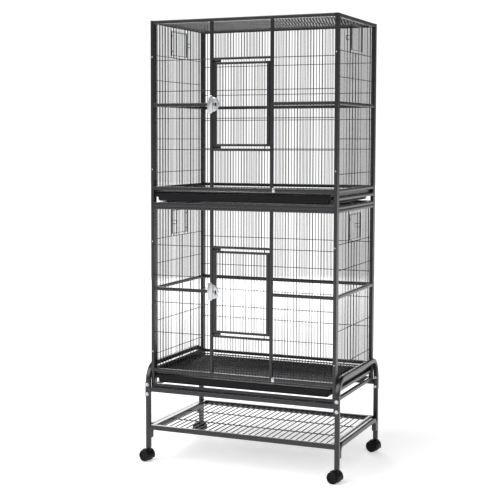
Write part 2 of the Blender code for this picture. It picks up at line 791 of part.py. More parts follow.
def stand_rail(sy):
    """A rail that carries the cages, with a bolted plate at each end."""
    far = LEG_OUT_Y + REST + PLATE_THICKNESS
    near = LEG_OUT_Y + REST
    rail_out = far - PLATE_THICKNESS / 2
    z0, z1 = STAND_TOP - RAIL_HEIGHT, STAND_TOP
    middle = (z0 + z1) / 2

    def span(x0, x1, y_in, y_out, low, high):
        a, b = sorted((sy * y_in, sy * y_out))
        return box((x0, a, low), (x1, b, high))

    inside = LEG_IN_X - REST
    made = [span(-inside, inside, rail_out - RAIL_DEPTH, rail_out, z0, z1)]
    for sx in (-1, 1):
        x0, x1 = sorted((sx * (LEG_IN_X - PLATE_REACH), sx * (LEG_IN_X + STAND_TUBE)))
        made.append(span(x0, x1, near, far, middle - PLATE_HEIGHT / 2, middle + PLATE_HEIGHT / 2))
    rail = welded(f"{'front' if sy < 0 else 'rear'}_rail", made, COAT)
    holes = bolt_holes(-1, sy, bolt_heights()) + bolt_holes(1, sy, bolt_heights())
    return drilled(rail, holes)


def bolts():
    """A bolt with its washer and nut as one turned body, head outwards."""
    head_seat = LEG_OUT_Y + REST + PLATE_THICKNESS + REST
    nut_seat = LEG_OUT_Y - STAND_TUBE - REST
    length = head_seat - nut_seat
    profile = [
        (0, WASHER_THICKNESS + BOLT_HEAD_HEIGHT),
        (BOLT_HEAD_RADIUS * 0.75, WASHER_THICKNESS + BOLT_HEAD_HEIGHT * 0.85),
        (BOLT_HEAD_RADIUS, WASHER_THICKNESS + BOLT_HEAD_HEIGHT * 0.35),
        (BOLT_HEAD_RADIUS, WASHER_THICKNESS),
        (WASHER_RADIUS, WASHER_THICKNESS),
        (WASHER_RADIUS, 0),
        (BOLT_RADIUS, 0),
        (BOLT_RADIUS, -length),
        (NUT_RADIUS, -length),
        (NUT_RADIUS, -length - NUT_HEIGHT),
        (0, -length - NUT_HEIGHT),
    ]
    for sx in (-1, 1):
        for sy in (-1, 1):
            for level, z in zip(("low", "high"), bolt_heights()):
                name = f"bolt_{corner_name(sx, sy)}_{level}"
                turned(name, profile, (0, sy, 0), (sx * LEG_X, sy * head_seat, z), ZINC, 8)


def shelf():
    """The lower shelf: a frame of rails, wires from front to back and cross wires under them."""
    inside = LEG_IN_X - REST
    out_y = LEG_Y + STAND_TUBE / 2
    in_y = out_y - STAND_TUBE
    in_x = inside - SHELF_SIDE_RAIL
    z0, z1 = SHELF_TOP - SHELF_RAIL, SHELF_TOP
    bury = STAND_TUBE / 2
    made = []
    for sy in (-1, 1):
        a, b = sorted((sy * in_y, sy * out_y))
        made.append(box((-inside, a, z0), (inside, b, z1)))
    for sx in (-1, 1):
        a, b = sorted((sx * in_x, sx * inside))
        made.append(box((a, -in_y - bury, z0), (b, in_y + bury, z1)))
    half = SHELF_WIRE / 2
    level = SHELF_TOP - SHELF_RAIL / 2 + half
    for x in spread(-in_x, in_x, SHELF_WIRE_GAP):
        made.append(box((x - half, -in_y - WIRE_BURY, level - half),
                        (x + half, in_y + WIRE_BURY, level + half)))
    for y in spread(-in_y, in_y, 2 * in_y / (SHELF_CROSS_WIRES + 1)):
        made.append(box((-in_x - WIRE_BURY, y - half, level - half - WIRE),
                        (in_x + WIRE_BURY, y + half, level + half - WIRE)))
    return welded("shelf", made, COAT)


def shelf_hoop(sx):
    """The bar beside the shelf, bent down at both ends against the legs."""
    half_span = LEG_Y - STAND_TUBE - REST
    path = arch(HOOP_FOOT, SHELF_TOP - STAND_TUBE / 2, half_span, HOOP_RADIUS, sx * LEG_X, 4)
    name = f"shelf_hoop_{'right' if sx > 0 else 'left'}"
    return as_part(bent_bar(name, path, STAND_TUBE), COAT)


def castor(sx, sy):
    """A twin-wheel castor: socket in the leg, swivelling hood with its stem, and the wheels."""
    corner = corner_name(sx, sy)
    x, y = sx * LEG_X, sy * LEG_Y
    bore = STEM_RADIUS + SLIP
    plug = STAND_TUBE / 2 - STAND_WALL - SLIP
    flange_foot = LEG_FOOT - REST - SOCKET_FLANGE
    flange = [
        (bore, 0),
        (plug + STAND_WALL, 0),
        (plug + STAND_WALL, SOCKET_FLANGE),
        (plug, SOCKET_FLANGE),
        (plug, SOCKET_LENGTH),
        (bore, SOCKET_LENGTH),
        (bore, 0),
    ]
    turned(f"castor_socket_{corner}", flange[::-1], (0, 0, 1), (x, y, flange_foot),
           BLACK_PLASTIC, ROUND)
    heading = Vector((math.sin(CASTOR_HEADING), -math.cos(CASTOR_HEADING), 0))
    axle = Vector((math.cos(CASTOR_HEADING), math.sin(CASTOR_HEADING), 0))
    hub = Vector((x, y, CASTOR_WHEEL_RADIUS)) + heading * CASTOR_TRAIL
    castor_hood(corner, (x, y), hub, heading, axle, flange_foot - 2 * REST)
    castor_wheels(corner, hub, axle)


def castor_wheels(corner, hub, axle):
    """Both wheels and the axle between them, as one turned body."""
    groove = CASTOR_WEB / 2 + CASTOR_WEB_GAP
    out = CASTOR_TRACK / 2
    rim = CASTOR_WHEEL_RADIUS
    edge = rim * 0.12
    side = [
        (0, out - edge),
        (rim * 0.35, out - edge / 2),
        (rim * 0.80, out),
        (rim - edge, out - edge / 3),
        (rim, out - edge - edge / 3),
        (rim, groove + edge / 3),
        (rim - edge / 3, groove),
        (CASTOR_HUB_RADIUS, groove),
    ]
    profile = side + [(radius, -along) for radius, along in reversed(side)]
    turned(f"castor_wheels_{corner}", profile, axle, hub, TREAD, 16)


def castor_hood(corner, stem_xy, hub, heading, axle, top):
    """The web between the wheels, the fender over them, the collar and the stem."""
    inner = CASTOR_WHEEL_RADIUS + HOOD_GAP
    outer = inner + HOOD_WALL
    shell = arc((0, 0), outer, math.radians(-20), math.radians(105), 5)
    shell += arc((0, 0), inner, math.radians(105), math.radians(-20), 5)
    web = arc((0, 0), inner + HOOD_WALL / 2, math.radians(-20), math.radians(105), 5)
    web += arc((0, 0), CASTOR_HUB_RADIUS + 0.004, math.radians(150), math.radians(295), 5)
    frame = Matrix((
        (-heading.x, 0, axle.x, hub.x),
        (-heading.y, 0, axle.y, hub.y),
        (0, 1, 0, hub.z),
        (0, 0, 0, 1),
    ))
    pieces = []
    for label, loop, width in (("fender", shell, CASTOR_TRACK), ("web", web, CASTOR_WEB)):
        plate = outline(f"castor_{label}_{corner}", [loop], width)
        plate.matrix_world = frame
        pieces.append(to_mesh(plate))
    fender, middle = pieces
    fender.name = f"castor_hood_{corner}"
    x, y = stem_xy
    as_part(fender, BLACK_PLASTIC, (x, y, top))
    middle.hide_render = True
    middle.display_type = "WIRE"
    boolean(fender, middle, "UNION")
    collar = rod((x, y, hub.z + inner * 0.6), (x, y, top), STEM_RADIUS * 2.2)
    stem = rod((x, y, hub.z + inner * 0.6), (x, y, top + STEM_LENGTH), STEM_RADIUS)
    boolean(fender, helper(f"castor_collar_{corner}", [collar]), "UNION")
    boolean(fender, helper(f"castor_stem_{corner}", [stem]), "UNION")
    reach = axle * CASTOR_TRACK
    bore = rod(hub - reach, hub + reach, CASTOR_HUB_RADIUS + SLIP)
    wheel_space = []
    for side in (-1, 1):
        start = hub + axle * side * CASTOR_WEB / 2
        end = hub + axle * side * CASTOR_TRACK
        wheel_space.append(rod(start, end, inner, 16))
    boolean(fender, helper(f"castor_bore_{corner}", [bore]), "DIFFERENCE")
    for number, maker in enumerate(wheel_space):
        cutter = helper(f"castor_space_{corner}_{number}", [maker])
        boolean(fender, cutter, "DIFFERENCE")


def smooth_round_parts():
    """Shades round pieces smooth, with their corners kept sharp."""
    for obj in PARTS.objects:
        if obj.type == "MESH" and obj.data.polygons:
            obj.data.shade_smooth()
            obj.data.set_sharp_from_angle(angle=SMOOTH_ANGLE)


clear_scene()
PARTS = collection("bird_cage_on_stand")
HELPERS = collection("cutters")
cage("lower", closing_sign=1)
cage("upper", closing_sign=-1)
for across in (-1, 1):
    end_frame(across)
    shelf_hoop(across)
    for along in (-1, 1):
        leg(across, along)
        castor(across, along)
stand_rail(-1)
stand_rail(1)
bolts()
shelf()
smooth_round_parts()
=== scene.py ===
"""Two-tier wire bird cage on a rolling stand, dressed over its working model.

The frame holds every moving piece and its body. Each piece is modelled here at
its real wire pitch and tube finish, and rides on the body that it belongs to.
"""

import json
import math

import bmesh
import bpy
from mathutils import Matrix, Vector


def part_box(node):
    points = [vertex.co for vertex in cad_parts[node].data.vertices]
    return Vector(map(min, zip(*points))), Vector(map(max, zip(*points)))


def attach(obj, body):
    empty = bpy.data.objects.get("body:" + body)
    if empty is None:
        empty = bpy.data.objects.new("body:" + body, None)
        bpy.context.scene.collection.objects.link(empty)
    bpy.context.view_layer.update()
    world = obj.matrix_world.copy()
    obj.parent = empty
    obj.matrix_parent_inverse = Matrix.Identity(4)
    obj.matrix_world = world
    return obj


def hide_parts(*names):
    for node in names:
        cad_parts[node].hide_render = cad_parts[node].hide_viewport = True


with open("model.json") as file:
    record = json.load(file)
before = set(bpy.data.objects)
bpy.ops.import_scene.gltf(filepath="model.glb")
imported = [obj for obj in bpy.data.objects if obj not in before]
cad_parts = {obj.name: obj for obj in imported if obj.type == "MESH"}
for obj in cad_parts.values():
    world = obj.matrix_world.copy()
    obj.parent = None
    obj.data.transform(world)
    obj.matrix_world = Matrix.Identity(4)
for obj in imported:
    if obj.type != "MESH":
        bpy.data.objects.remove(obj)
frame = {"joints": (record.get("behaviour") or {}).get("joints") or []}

bl_info = {
    "name": "Bird Cage On Stand",
    "version": (1, 0, 0),
    "blender": (4, 5, 0),
    "location": "View3D > Sidebar > Bird Cage",
    "description": "Models a stacked wire bird cage and its rolling stand piece by piece",
    "category": "Add Mesh",
}

ROOT = "cage_and_stand"
TIERS = ("lower", "upper")
SIDES = ((-1, "left"), (1, "right"))
CORNERS = [(sx, sy) for sx in (-1, 1) for sy in (-1, 1)]
BITE = 0.001  # how far a wire's end runs into the rail that it is welded to
WELD = 0.00002  # points nearer than this are one point

# Heights above a cage's foot
RUNNER_FOOT = 0.036
FLOOR_RAIL_FOOT = 0.066
FRONT_CROSS_WIRES = (0.234, 0.3615, 0.4745, 0.602)
SIDE_CROSS_WIRES = (0.138, 0.278, 0.5215, 0.625)
MID_RAIL = 0.418
DOORWAY_FOOT = 0.239
DOORWAY_TOP = 0.597
CUP_SILL = 0.625
CUP_JAMB = 0.0775
CUP_HEADER = 0.7386

# Along the front wall
BAY_BAR_INNER = 0.1245
BAY_BAR_OUTER = 0.1375

# Cage rails, ledges and mats
SLIM_RAIL = 0.010
TRAY_LEDGE = (0.014, 0.036, 0.0388)  # reach, foot and top
FLOOR_LEDGE = (0.008, 0.0545, 0.0565)
LEDGE_WEB = (0.0365, 0.072)  # foot and top
MAT_CROSS_WIRES = 10

# Tray
TRAY_LIP_DROP = 0.0145
TRAY_LIP = 0.0028
TRAY_STEP_IN = 0.0125
TRAY_END_STEP = 0.003

# Front door and latch
DOOR_STILE = 0.013
DOOR_PIN_REACH = 0.013
DOOR_PIN = 0.0048
HINGE_INSET = 0.022
DOOR_WIRE_SPREAD = 0.0565
LEVER_THICKNESS = 0.004
LEVER_BAR = 0.0065
RIVET_DROP = 0.024

# Feeder doors
CUP_ROD = 0.0030
CUP_EDGE_ROD = 0.0044
CUP_LOOP_WIRE = 0.0026
CUP_LOOP_HALF = 0.0075

# Stand and castors
RAIL_FOOT, RAIL_TOP = 0.301, 0.320
SHELF_SIDE_RAIL = 0.021
BOLT_SEAT = 0.0047
NUT_HEIGHT = 0.004
WHEEL_TRACK = 0.023
WHEEL_INNER_FACE = 0.0043
WEB_HALF = 0.0034
FENDER_GAP = 0.0018
FENDER_WALL = 0.0025
FENDER_SWEEP = 123
FENDER_TILT = 18

# Studio
CAMERA_PLACE = (1.8623, -4.7886, 1.3631)
CAMERA_HEADING = 24.315
CAMERA_PITCH = 4.052
CAMERA_LENS = 87.08
CAMERA_SHIFT = (0.10, -0.05)
SUNS = (("key", (-2.6, -4.2, 4.6), 50, 2.2), ("fill", (3.2, -3.0, 4.6), 50, 0.7))
FLOOR_GLOW = 0.42
SURROUND_LIGHT = 0.2
SEEN_WHITE = 1.05
BACKDROP_PLACE = (-2.9, 5.4, 2.7)
BACKDROP_SIZE = (3.4, 4.6)
BACKDROP_POWER = 170


def cage_box(tier):
    """(half width, front face, foot, top) of a cage, from its front wall."""
    low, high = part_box(f"{tier}_front_panel")
    return high.x, low.y, low.z, high.z


# Modelling by hand


def nothing_selected():
    if bpy.context.mode != "OBJECT":
        bpy.ops.object.mode_set(mode="OBJECT")
    bpy.ops.object.select_all(action="DESELECT")


def only(obj):
    nothing_selected()
    obj.select_set(True)
    bpy.context.view_layer.objects.active = obj


def settle(obj):
    """Puts an object's place into its mesh."""
    only(obj)
    bpy.ops.object.transform_apply(location=True, rotation=True, scale=True)


def choose(kind):
    """Turns to picking points, edges or faces, with none picked yet."""
    bpy.ops.mesh.select_mode(type=kind)
    bpy.ops.mesh.select_all(action="DESELECT")


def edit(obj, kind):
    only(obj)
    bpy.ops.object.mode_set(mode="EDIT")
    choose(kind)


def pick_edges(obj, test):
    """Selects the edges whose two ends pass a test."""
    bm = bmesh.from_edit_mesh(obj.data)
    for edge in bm.edges:
        edge.select_set(bool(test(edge.verts[0].co, edge.verts[1].co)))
    bmesh.update_edit_mesh(obj.data)


def pick_faces(obj, test):
    """Selects the faces whose middle and normal pass a test."""
    bm = bmesh.from_edit_mesh(obj.data)
    for face in bm.faces:
        face.select_set(bool(test(face.calc_center_median(), face.normal)))
    bmesh.update_edit_mesh(obj.data)


def done_editing():
    bpy.ops.object.mode_set(mode="OBJECT")


def weld_seams():
    """Joins the points that meet in the mesh being edited and faces it outward."""
    bpy.ops.mesh.select_all(action="SELECT")
    bpy.ops.mesh.remove_doubles(threshold=WELD)
    bpy.ops.mesh.normals_make_consistent(inside=False)


def apply_modifier(obj, kind, **settings):
    only(obj)
    modifier = obj.modifiers.new(kind.title(), kind)
    for key, value in settings.items():
        setattr(modifier, key, value)
    bpy.ops.object.modifier_apply(modifier=modifier.name)


def cut_with(obj, cutter):
    """Cuts one modelled shape with another, which is then gone."""
    apply_modifier(obj, "BOOLEAN", operation="DIFFERENCE", object=cutter, solver="EXACT")
    bpy.data.objects.remove(cutter)


def joined(name, objects):
    """Several modelled pieces of one welded part, as one object."""
    nothing_selected()
    for obj in objects:
        obj.select_set(True)
    bpy.context.view_layer.objects.active = objects[0]
    if len(objects) > 1:
        bpy.ops.object.join()
    made = bpy.context.view_layer.objects.active
    made.name = name
    made.data.name = name
    return made


def finished(obj, name, body, nodes, material, angle):
    """Names and shades a piece, and ties it to its body."""
    only(obj)
    obj.name = name
    obj.data.name = name
    obj.data.materials.clear()
    obj.data.materials.append(material)
    bpy.ops.object.shade_smooth_by_angle(angle=math.radians(angle))
    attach(obj, body)
    if nodes:
        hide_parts(*nodes)
    return obj


def bar(low, high, corner=0.0, along=None, steps=2):
    """A bar or block with eased edges: those along one axis, or all of them."""
    nothing_selected()
    low, high = Vector(low), Vector(high)
    bpy.ops.mesh.primitive_cube_add(size=1, location=(low + high) / 2, scale=high - low)
    obj = bpy.context.object
    settle(obj)
    if corner:
        edit(obj, "EDGE")
        axis = None if along is None else "XYZ".index(along)
        pick_edges(obj, lambda a, b: axis is None or abs((b - a)[axis]) > 0.9 * (high - low)[axis])
        bpy.ops.mesh.bevel(offset=corner, segments=steps, affect="EDGES")
        done_editing()
    return obj


def wire(start, end, diameter, sides=8):
    """A round wire with eased ends."""
    nothing_selected()
    start, end = Vector(start), Vector(end)
    run = end - start
    bpy.ops.mesh.primitive_cylinder_add(
        vertices=sides, radius=diameter / 2, depth=run.length, location=(start + end) / 2,
        rotation=run.to_track_quat("Z", "Y").to_euler(),
    )
    obj = bpy.context.object
    settle(obj)
    edit(obj, "EDGE")
    unit = run.normalized()
    pick_edges(obj, lambda a, b: abs((b - a).dot(unit)) < run.length / 2)
    bpy.ops.mesh.bevel(offset=diameter * 0.2, segments=1, affect="EDGES")
    done_editing()
    return obj


def in_a_row(obj, step, count):
    apply_modifier(
        obj, "ARRAY", count=count, use_relative_offset=False, use_constant_offset=True,
        constant_offset_displace=step,
    )
    return obj


def gaps_between(low, high, gap):
    """(first place, step, count) of evenly spread wires between two rails."""
    count = max(1, round((high - low) / gap) - 1)
    step = (high - low) / (count + 1)
    return low + step, step, count


def turned(profile, middle, axis, steps=32):
    """A body of revolution round an axis. The profile lists (radius, place along the axis)."""
    nothing_selected()
    bpy.ops.mesh.primitive_plane_add(size=0.001, location=(0, 0, 0))
    obj = bpy.context.object
    edit(obj, "VERT")
    bpy.ops.mesh.select_all(action="SELECT")
    bpy.ops.mesh.merge(type="CENTER")
    places = [Vector((radius, 0, along)) for radius, along in profile]
    bpy.ops.transform.translate(value=places[0])
    for before, place in zip(places, places[1:]):
        bpy.ops.mesh.extrude_region_move(TRANSFORM_OT_translate={"value": place - before})
    bpy.ops.mesh.select_all(action="SELECT")
    bpy.ops.mesh.spin(steps=steps, angle=2 * math.pi, center=(0, 0, 0), axis=(0, 0, 1))
    weld_seams()
    done_editing()
    obj.rotation_mode = "QUATERNION"
    obj.rotation_quaternion = Vector(axis).to_track_quat("Z", "Y")
    obj.location = middle
    settle(obj)
    return obj


def bent_tube(start, side, corner, moves, steps=8):
    """A square tube with round edges along straight runs and bends.

    start is the middle of its first end and the tube leaves it along +Z. A move is
    ("run", vector) or ("bend", centre, axis, angle). The spin operator turns a face
    against the right-hand rule, so a bend's angle is passed on with its sign changed.
    """
    nothing_selected()
    half = side / 2
    x, y, z = start
    bpy.ops.mesh.primitive_cube_add(size=1, location=(x, y, z + half), scale=(side, side, side))
    obj = bpy.context.object
    settle(obj)
    edit(obj, "EDGE")
    pick_edges(obj, lambda a, b: abs((b - a).z) > half)
    bpy.ops.mesh.bevel(offset=corner, segments=2, affect="EDGES")
    choose("FACE")
    pick_faces(obj, lambda middle, normal: normal.z > 0.9)
    for kind, *how in moves:
        if kind == "run":
            bpy.ops.mesh.extrude_region_move(TRANSFORM_OT_translate={"value": how[0]})
        else:
            centre, axis, angle = how
            bpy.ops.mesh.spin(steps=steps, angle=-angle, center=centre, axis=axis)
    weld_seams()
    done_editing()
    return obj


# Finishes


def shader_material(name, colour, roughness, metallic=0.0, gloss=0.5):
    made = bpy.data.materials.new(name)
    made.use_nodes = True
    shader = made.node_tree.nodes["Principled BSDF"]
    shader.inputs["Base Color"].default_value = (*colour, 1)
    shader.inputs["Roughness"].default_value = roughness
    shader.inputs["Metallic"].default_value = metallic
    shader.inputs["Specular IOR Level"].default_value = gloss
    made.diffuse_color = (*colour, 1)
    return made, shader


def grain(material, shader, scale, height, dark, light, rough_low, rough_high):
    """Fine surface grain: a little relief, and slight change of colour and gloss."""
    tree = material.node_tree
    place = tree.nodes.new("ShaderNodeTexCoord")
    noise = tree.nodes.new("ShaderNodeTexNoise")
    noise.inputs["Scale"].default_value = scale
    noise.inputs["Detail"].default_value = 4
    tree.links.new(place.outputs["Object"], noise.inputs["Vector"])
    ramp = tree.nodes.new("ShaderNodeValToRGB")
    ramp.color_ramp.elements[0].position = 0.3
    ramp.color_ramp.elements[1].position = 0.7
    ramp.color_ramp.elements[0].color = (*dark, 1)
    ramp.color_ramp.elements[1].color = (*light, 1)
    tree.links.new(noise.outputs["Fac"], ramp.inputs["Fac"])
    tree.links.new(ramp.outputs["Color"], shader.inputs["Base Color"])
    gloss = tree.nodes.new("ShaderNodeMapRange")
    gloss.inputs["To Min"].default_value = rough_low
    gloss.inputs["To Max"].default_value = rough_high
    tree.links.new(noise.outputs["Fac"], gloss.inputs["Value"])
    tree.links.new(gloss.outputs["Result"], shader.inputs["Roughness"])
    bump = tree.nodes.new("ShaderNodeBump")
    bump.inputs["Strength"].default_value = 0.25
    bump.inputs["Distance"].default_value = height
    tree.links.new(noise.outputs["Fac"], bump.inputs["Height"])
    tree.links.new(bump.outputs["Normal"], shader.inputs["Normal"])


def shaded(colour, factor):
    return tuple(channel * factor for channel in colour)


def material_named(name):
    """One of the cage's finishes, made when it is first asked for."""
    found = bpy.data.materials.get(name)
    if found:
        return found
    look = bpy.context.scene.cage_finishes
    if name == "charcoal_powder_coat":
        colour = tuple(look.coat_colour)
        made, shader = shader_material(name, colour, look.coat_roughness)
        grain(made, shader, 900, 0.00004, shaded(colour, 0.86), shaded(colour, 1.12),
              look.coat_roughness - 0.05, look.coat_roughness + 0.06)
    elif name == "black_tray_plastic":
        colour = tuple(look.plastic_colour)
        made, shader = shader_material(name, colour, look.plastic_roughness, gloss=0.18)
        grain(made, shader, 1400, 0.00003, shaded(colour, 0.8), shaded(colour, 1.25),
              look.plastic_roughness - 0.06, look.plastic_roughness + 0.08)
    elif name == "wheel_plastic":
        colour = tuple(look.wheel_colour)
        made, shader = shader_material(name, colour, 0.42, gloss=0.15)
        grain(made, shader, 1100, 0.00003, shaded(colour, 0.8), shaded(colour, 1.2), 0.36, 0.5)
    else:
        colour = tuple(look.zinc_colour)
        made, shader = shader_material(name, colour, 0.26, 1.0)
        grain(made, shader, 700, 0.00002, shaded(colour, 0.88), shaded(colour, 1.05), 0.2, 0.36)
    return made


COAT = ("charcoal_powder_coat", "charcoal_coat")
TRAY_PLASTIC = ("black_tray_plastic", "black_plastic")
WHEEL = ("wheel_plastic", "castor_tread")
ZINC = ("bright_zinc", "zinc_plate")


def dressed(obj, name, body, nodes, finish, angle=40):
    """Gives a piece its finish, and whatever else makes it a finished piece."""
    material, slot = finish
    return finished(obj, name, body, nodes, material_named(material), angle)


class CageSizes(bpy.types.PropertyGroup):
    """Sizes of the cages' tubes and wires."""

    tube: bpy.props.FloatProperty(
        name="Frame tube", description="Side of the cages' square frame tube",
        default=0.014, unit="LENGTH")
    tube_corner: bpy.props.FloatProperty(
        name="Tube edge", description="Radius of a frame tube's edges",
        default=0.0016, unit="LENGTH")
    wire_gap: bpy.props.FloatProperty(
        name="Wire pitch", description="Middle to middle of the upright wires",
        default=0.0127, unit="LENGTH")
    upright: bpy.props.FloatProperty(
        name="Upright wire", description="Diameter of the upright wires",
        default=0.0024, unit="LENGTH")
    cross: bpy.props.FloatProperty(
        name="Cross wire", description="Diameter of the cross wires",
        default=0.0030, unit="LENGTH")
    rod: bpy.props.FloatProperty(
        name="Edge rod", description="Thickness of the rods round the wire floor and roof",
        default=0.0055, unit="LENGTH")
    tray_wall: bpy.props.FloatProperty(
        name="Tray wall", description="Thickness of the tray's wall",
        default=0.0025, unit="LENGTH")


class StandSizes(bpy.types.PropertyGroup):
    """Sizes of the stand's tubes, shelf and castors."""

    tube: bpy.props.FloatProperty(
        name="Stand tube", description="Side of the legs' and arches' square tube",
        default=0.019, unit="LENGTH")
    tube_corner: bpy.props.FloatProperty(
        name="Tube edge", description="Radius of a stand tube's edges",
        default=0.0026, unit="LENGTH")
    shelf_wire: bpy.props.FloatProperty(
        name="Shelf wire", description="Diameter of the shelf's wires",
        default=0.0048, unit="LENGTH")
    shelf_gap: bpy.props.FloatProperty(
        name="Shelf pitch", description="Middle to middle of the shelf's wires",
        default=0.0254, unit="LENGTH")
    arch_radius: bpy.props.FloatProperty(
        name="Arch bend", description="Bend of an end arch, to the middle of its tube",
        default=0.0685, unit="LENGTH")
    hoop_radius: bpy.props.FloatProperty(
        name="Side bar bend", description="Bend of a shelf side bar, to the middle of its tube",
        default=0.0305, unit="LENGTH")
    wheel_radius: bpy.props.FloatProperty(
        name="Wheel radius", description="Radius of a castor wheel",
        default=0.025, unit="LENGTH")


class CageFinishes(bpy.types.PropertyGroup):
    """Colours and gloss."""

    coat_colour: bpy.props.FloatVectorProperty(
        name="Powder coat", description="Colour of the coated steel",
        default=(0.016, 0.016, 0.019), subtype="COLOR", min=0, max=1)
    coat_roughness: bpy.props.FloatProperty(
        name="Coat roughness", description="Roughness of the coated steel", default=0.26)
    plastic_colour: bpy.props.FloatVectorProperty(
        name="Tray plastic", description="Colour of the trays and castor hoods",
        default=(0.004, 0.004, 0.005), subtype="COLOR", min=0, max=1)
    plastic_roughness: bpy.props.FloatProperty(
        name="Plastic roughness", description="Roughness of the trays", default=0.42)
    wheel_colour: bpy.props.FloatVectorProperty(
        name="Wheel plastic", description="Colour of the castor wheels",
        default=(0.004, 0.004, 0.005), subtype="COLOR", min=0, max=1)
    zinc_colour: bpy.props.FloatVectorProperty(
        name="Bright zinc", description="Colour of latches, clips and bolts",
        default=(0.62, 0.63, 0.65), subtype="COLOR", min=0, max=1)


def upright_row(low, high, foot, top, y, size):
    """Upright wires side by side in a front or back wall."""
    first, step, count = gaps_between(low, high, size.wire_gap)
    post = wire((first, y, foot - BITE), (first, y, top + BITE), size.upright)
    return in_a_row(post, (step, 0, 0), count)


def side_row(low, high, foot, top, x, size):
    """Upright wires one behind another in a side wall."""
    first, step, count = gaps_between(low, high, size.wire_gap)
    post = wire((x, first, foot - BITE), (x, first, top + BITE), size.upright)
    return in_a_row(post, (0, step, 0), count)


def crossing(size):
    """From the middle of an upright wire to the middle of a cross wire welded to it."""
    return size.upright * 0.45 + size.cross / 2


def build_front_wall(tier):
    size = bpy.context.scene.cage_sizes
    half_w, face, base, top = cage_box(tier)
    tube, corner = size.tube, size.tube_corner
    back = face + tube
    plane = face + tube / 2
    inside = half_w - tube
    rail = SLIM_RAIL
    tubes = []
    for sx in (-1, 1):
        a, b = sorted((sx * half_w, sx * inside))
        tubes.append(bar((a, face, base), (b, back, top), corner, "Z"))
        a, b = sorted((sx * BAY_BAR_INNER, sx * BAY_BAR_OUTER))
        tubes.append(
            bar((a, face + 0.0003, base + FLOOR_RAIL_FOOT + tube), (b, back - 0.0003, top - tube),
                corner, "Z")
        )
        a, b = sorted((sx * BAY_BAR_OUTER, sx * inside))
        tubes.append(
            bar((a, face, base + MID_RAIL - tube / 2), (b, back, base + MID_RAIL + tube / 2),
                corner, "X")
        )
    for foot in (base, base + FLOOR_RAIL_FOOT, top - tube):
        tubes.append(bar((-inside, face, foot), (inside, back, foot + tube), corner, "X"))
    for foot in (base + DOORWAY_FOOT - rail, base + DOORWAY_TOP):
        tubes.append(
            bar((-BAY_BAR_INNER, face + 0.001, foot), (BAY_BAR_INNER, back - 0.001, foot + rail),
                corner, "X")
        )
    for z in (base + DOORWAY_FOOT + 0.0045, base + DOORWAY_TOP - 0.0045):
        tubes.append(
            bar((-BAY_BAR_INNER - 0.002, back - 0.0035, z - 0.0044),
                (-BAY_BAR_INNER + 0.032, back - 0.0008, z + 0.0044), 0.0006, None, 1)
        )
    floor_top = base + FLOOR_RAIL_FOOT + tube
    wires = []
    for sx in (-1, 1):
        a, b = sorted((sx * BAY_BAR_OUTER, sx * inside))
        wires.append(upright_row(a, b, floor_top, top - tube, plane, size))
        y = plane + crossing(size)
        for z in FRONT_CROSS_WIRES:
            wires.append(wire((a - BITE, y, base + z), (b + BITE, y, base + z), size.cross))
    a, b = -BAY_BAR_INNER, BAY_BAR_INNER
    wires.append(upright_row(a, b, floor_top, base + DOORWAY_FOOT - rail, plane, size))
    wires.append(upright_row(a, b, base + DOORWAY_TOP + rail, top - tube, plane, size))
    node = f"{tier}_front_panel"
    dressed(joined("tubes", tubes), f"{tier}_front_wall_tubes", ROOT, [node], COAT)
    dressed(joined("wires", wires), f"{tier}_front_wall_wires", ROOT, [node], COAT)


def build_back_wall(tier):
    size = bpy.context.scene.cage_sizes
    half_w, face, base, top = cage_box(tier)
    tube, corner = size.tube, size.tube_corner
    back = -face
    front = back - tube
    inside = half_w - tube
    plane = back - tube / 2
    tubes = []
    for sx in (-1, 1):
        a, b = sorted((sx * half_w, sx * inside))
        tubes.append(bar((a, front, base), (b, back, top), corner, "Z"))
    for foot in (0, RUNNER_FOOT, FLOOR_RAIL_FOOT, MID_RAIL - tube / 2, top - base - tube):
        tubes.append(
            bar((-inside, front, base + foot), (inside, back, base + foot + tube), corner, "X")
        )
    floor_top = base + FLOOR_RAIL_FOOT + tube
    wires = [upright_row(-inside, inside, floor_top, top - tube, plane, size)]
    y = plane - crossing(size)
    for z in FRONT_CROSS_WIRES:
        wires.append(wire((-inside - BITE, y, base + z), (inside + BITE, y, base + z), size.cross))
    node = f"{tier}_back_panel"
    dressed(joined("tubes", tubes), f"{tier}_back_wall_tubes", ROOT, [node], COAT)
    dressed(joined("wires", wires), f"{tier}_back_wall_wires", ROOT, [node], COAT)


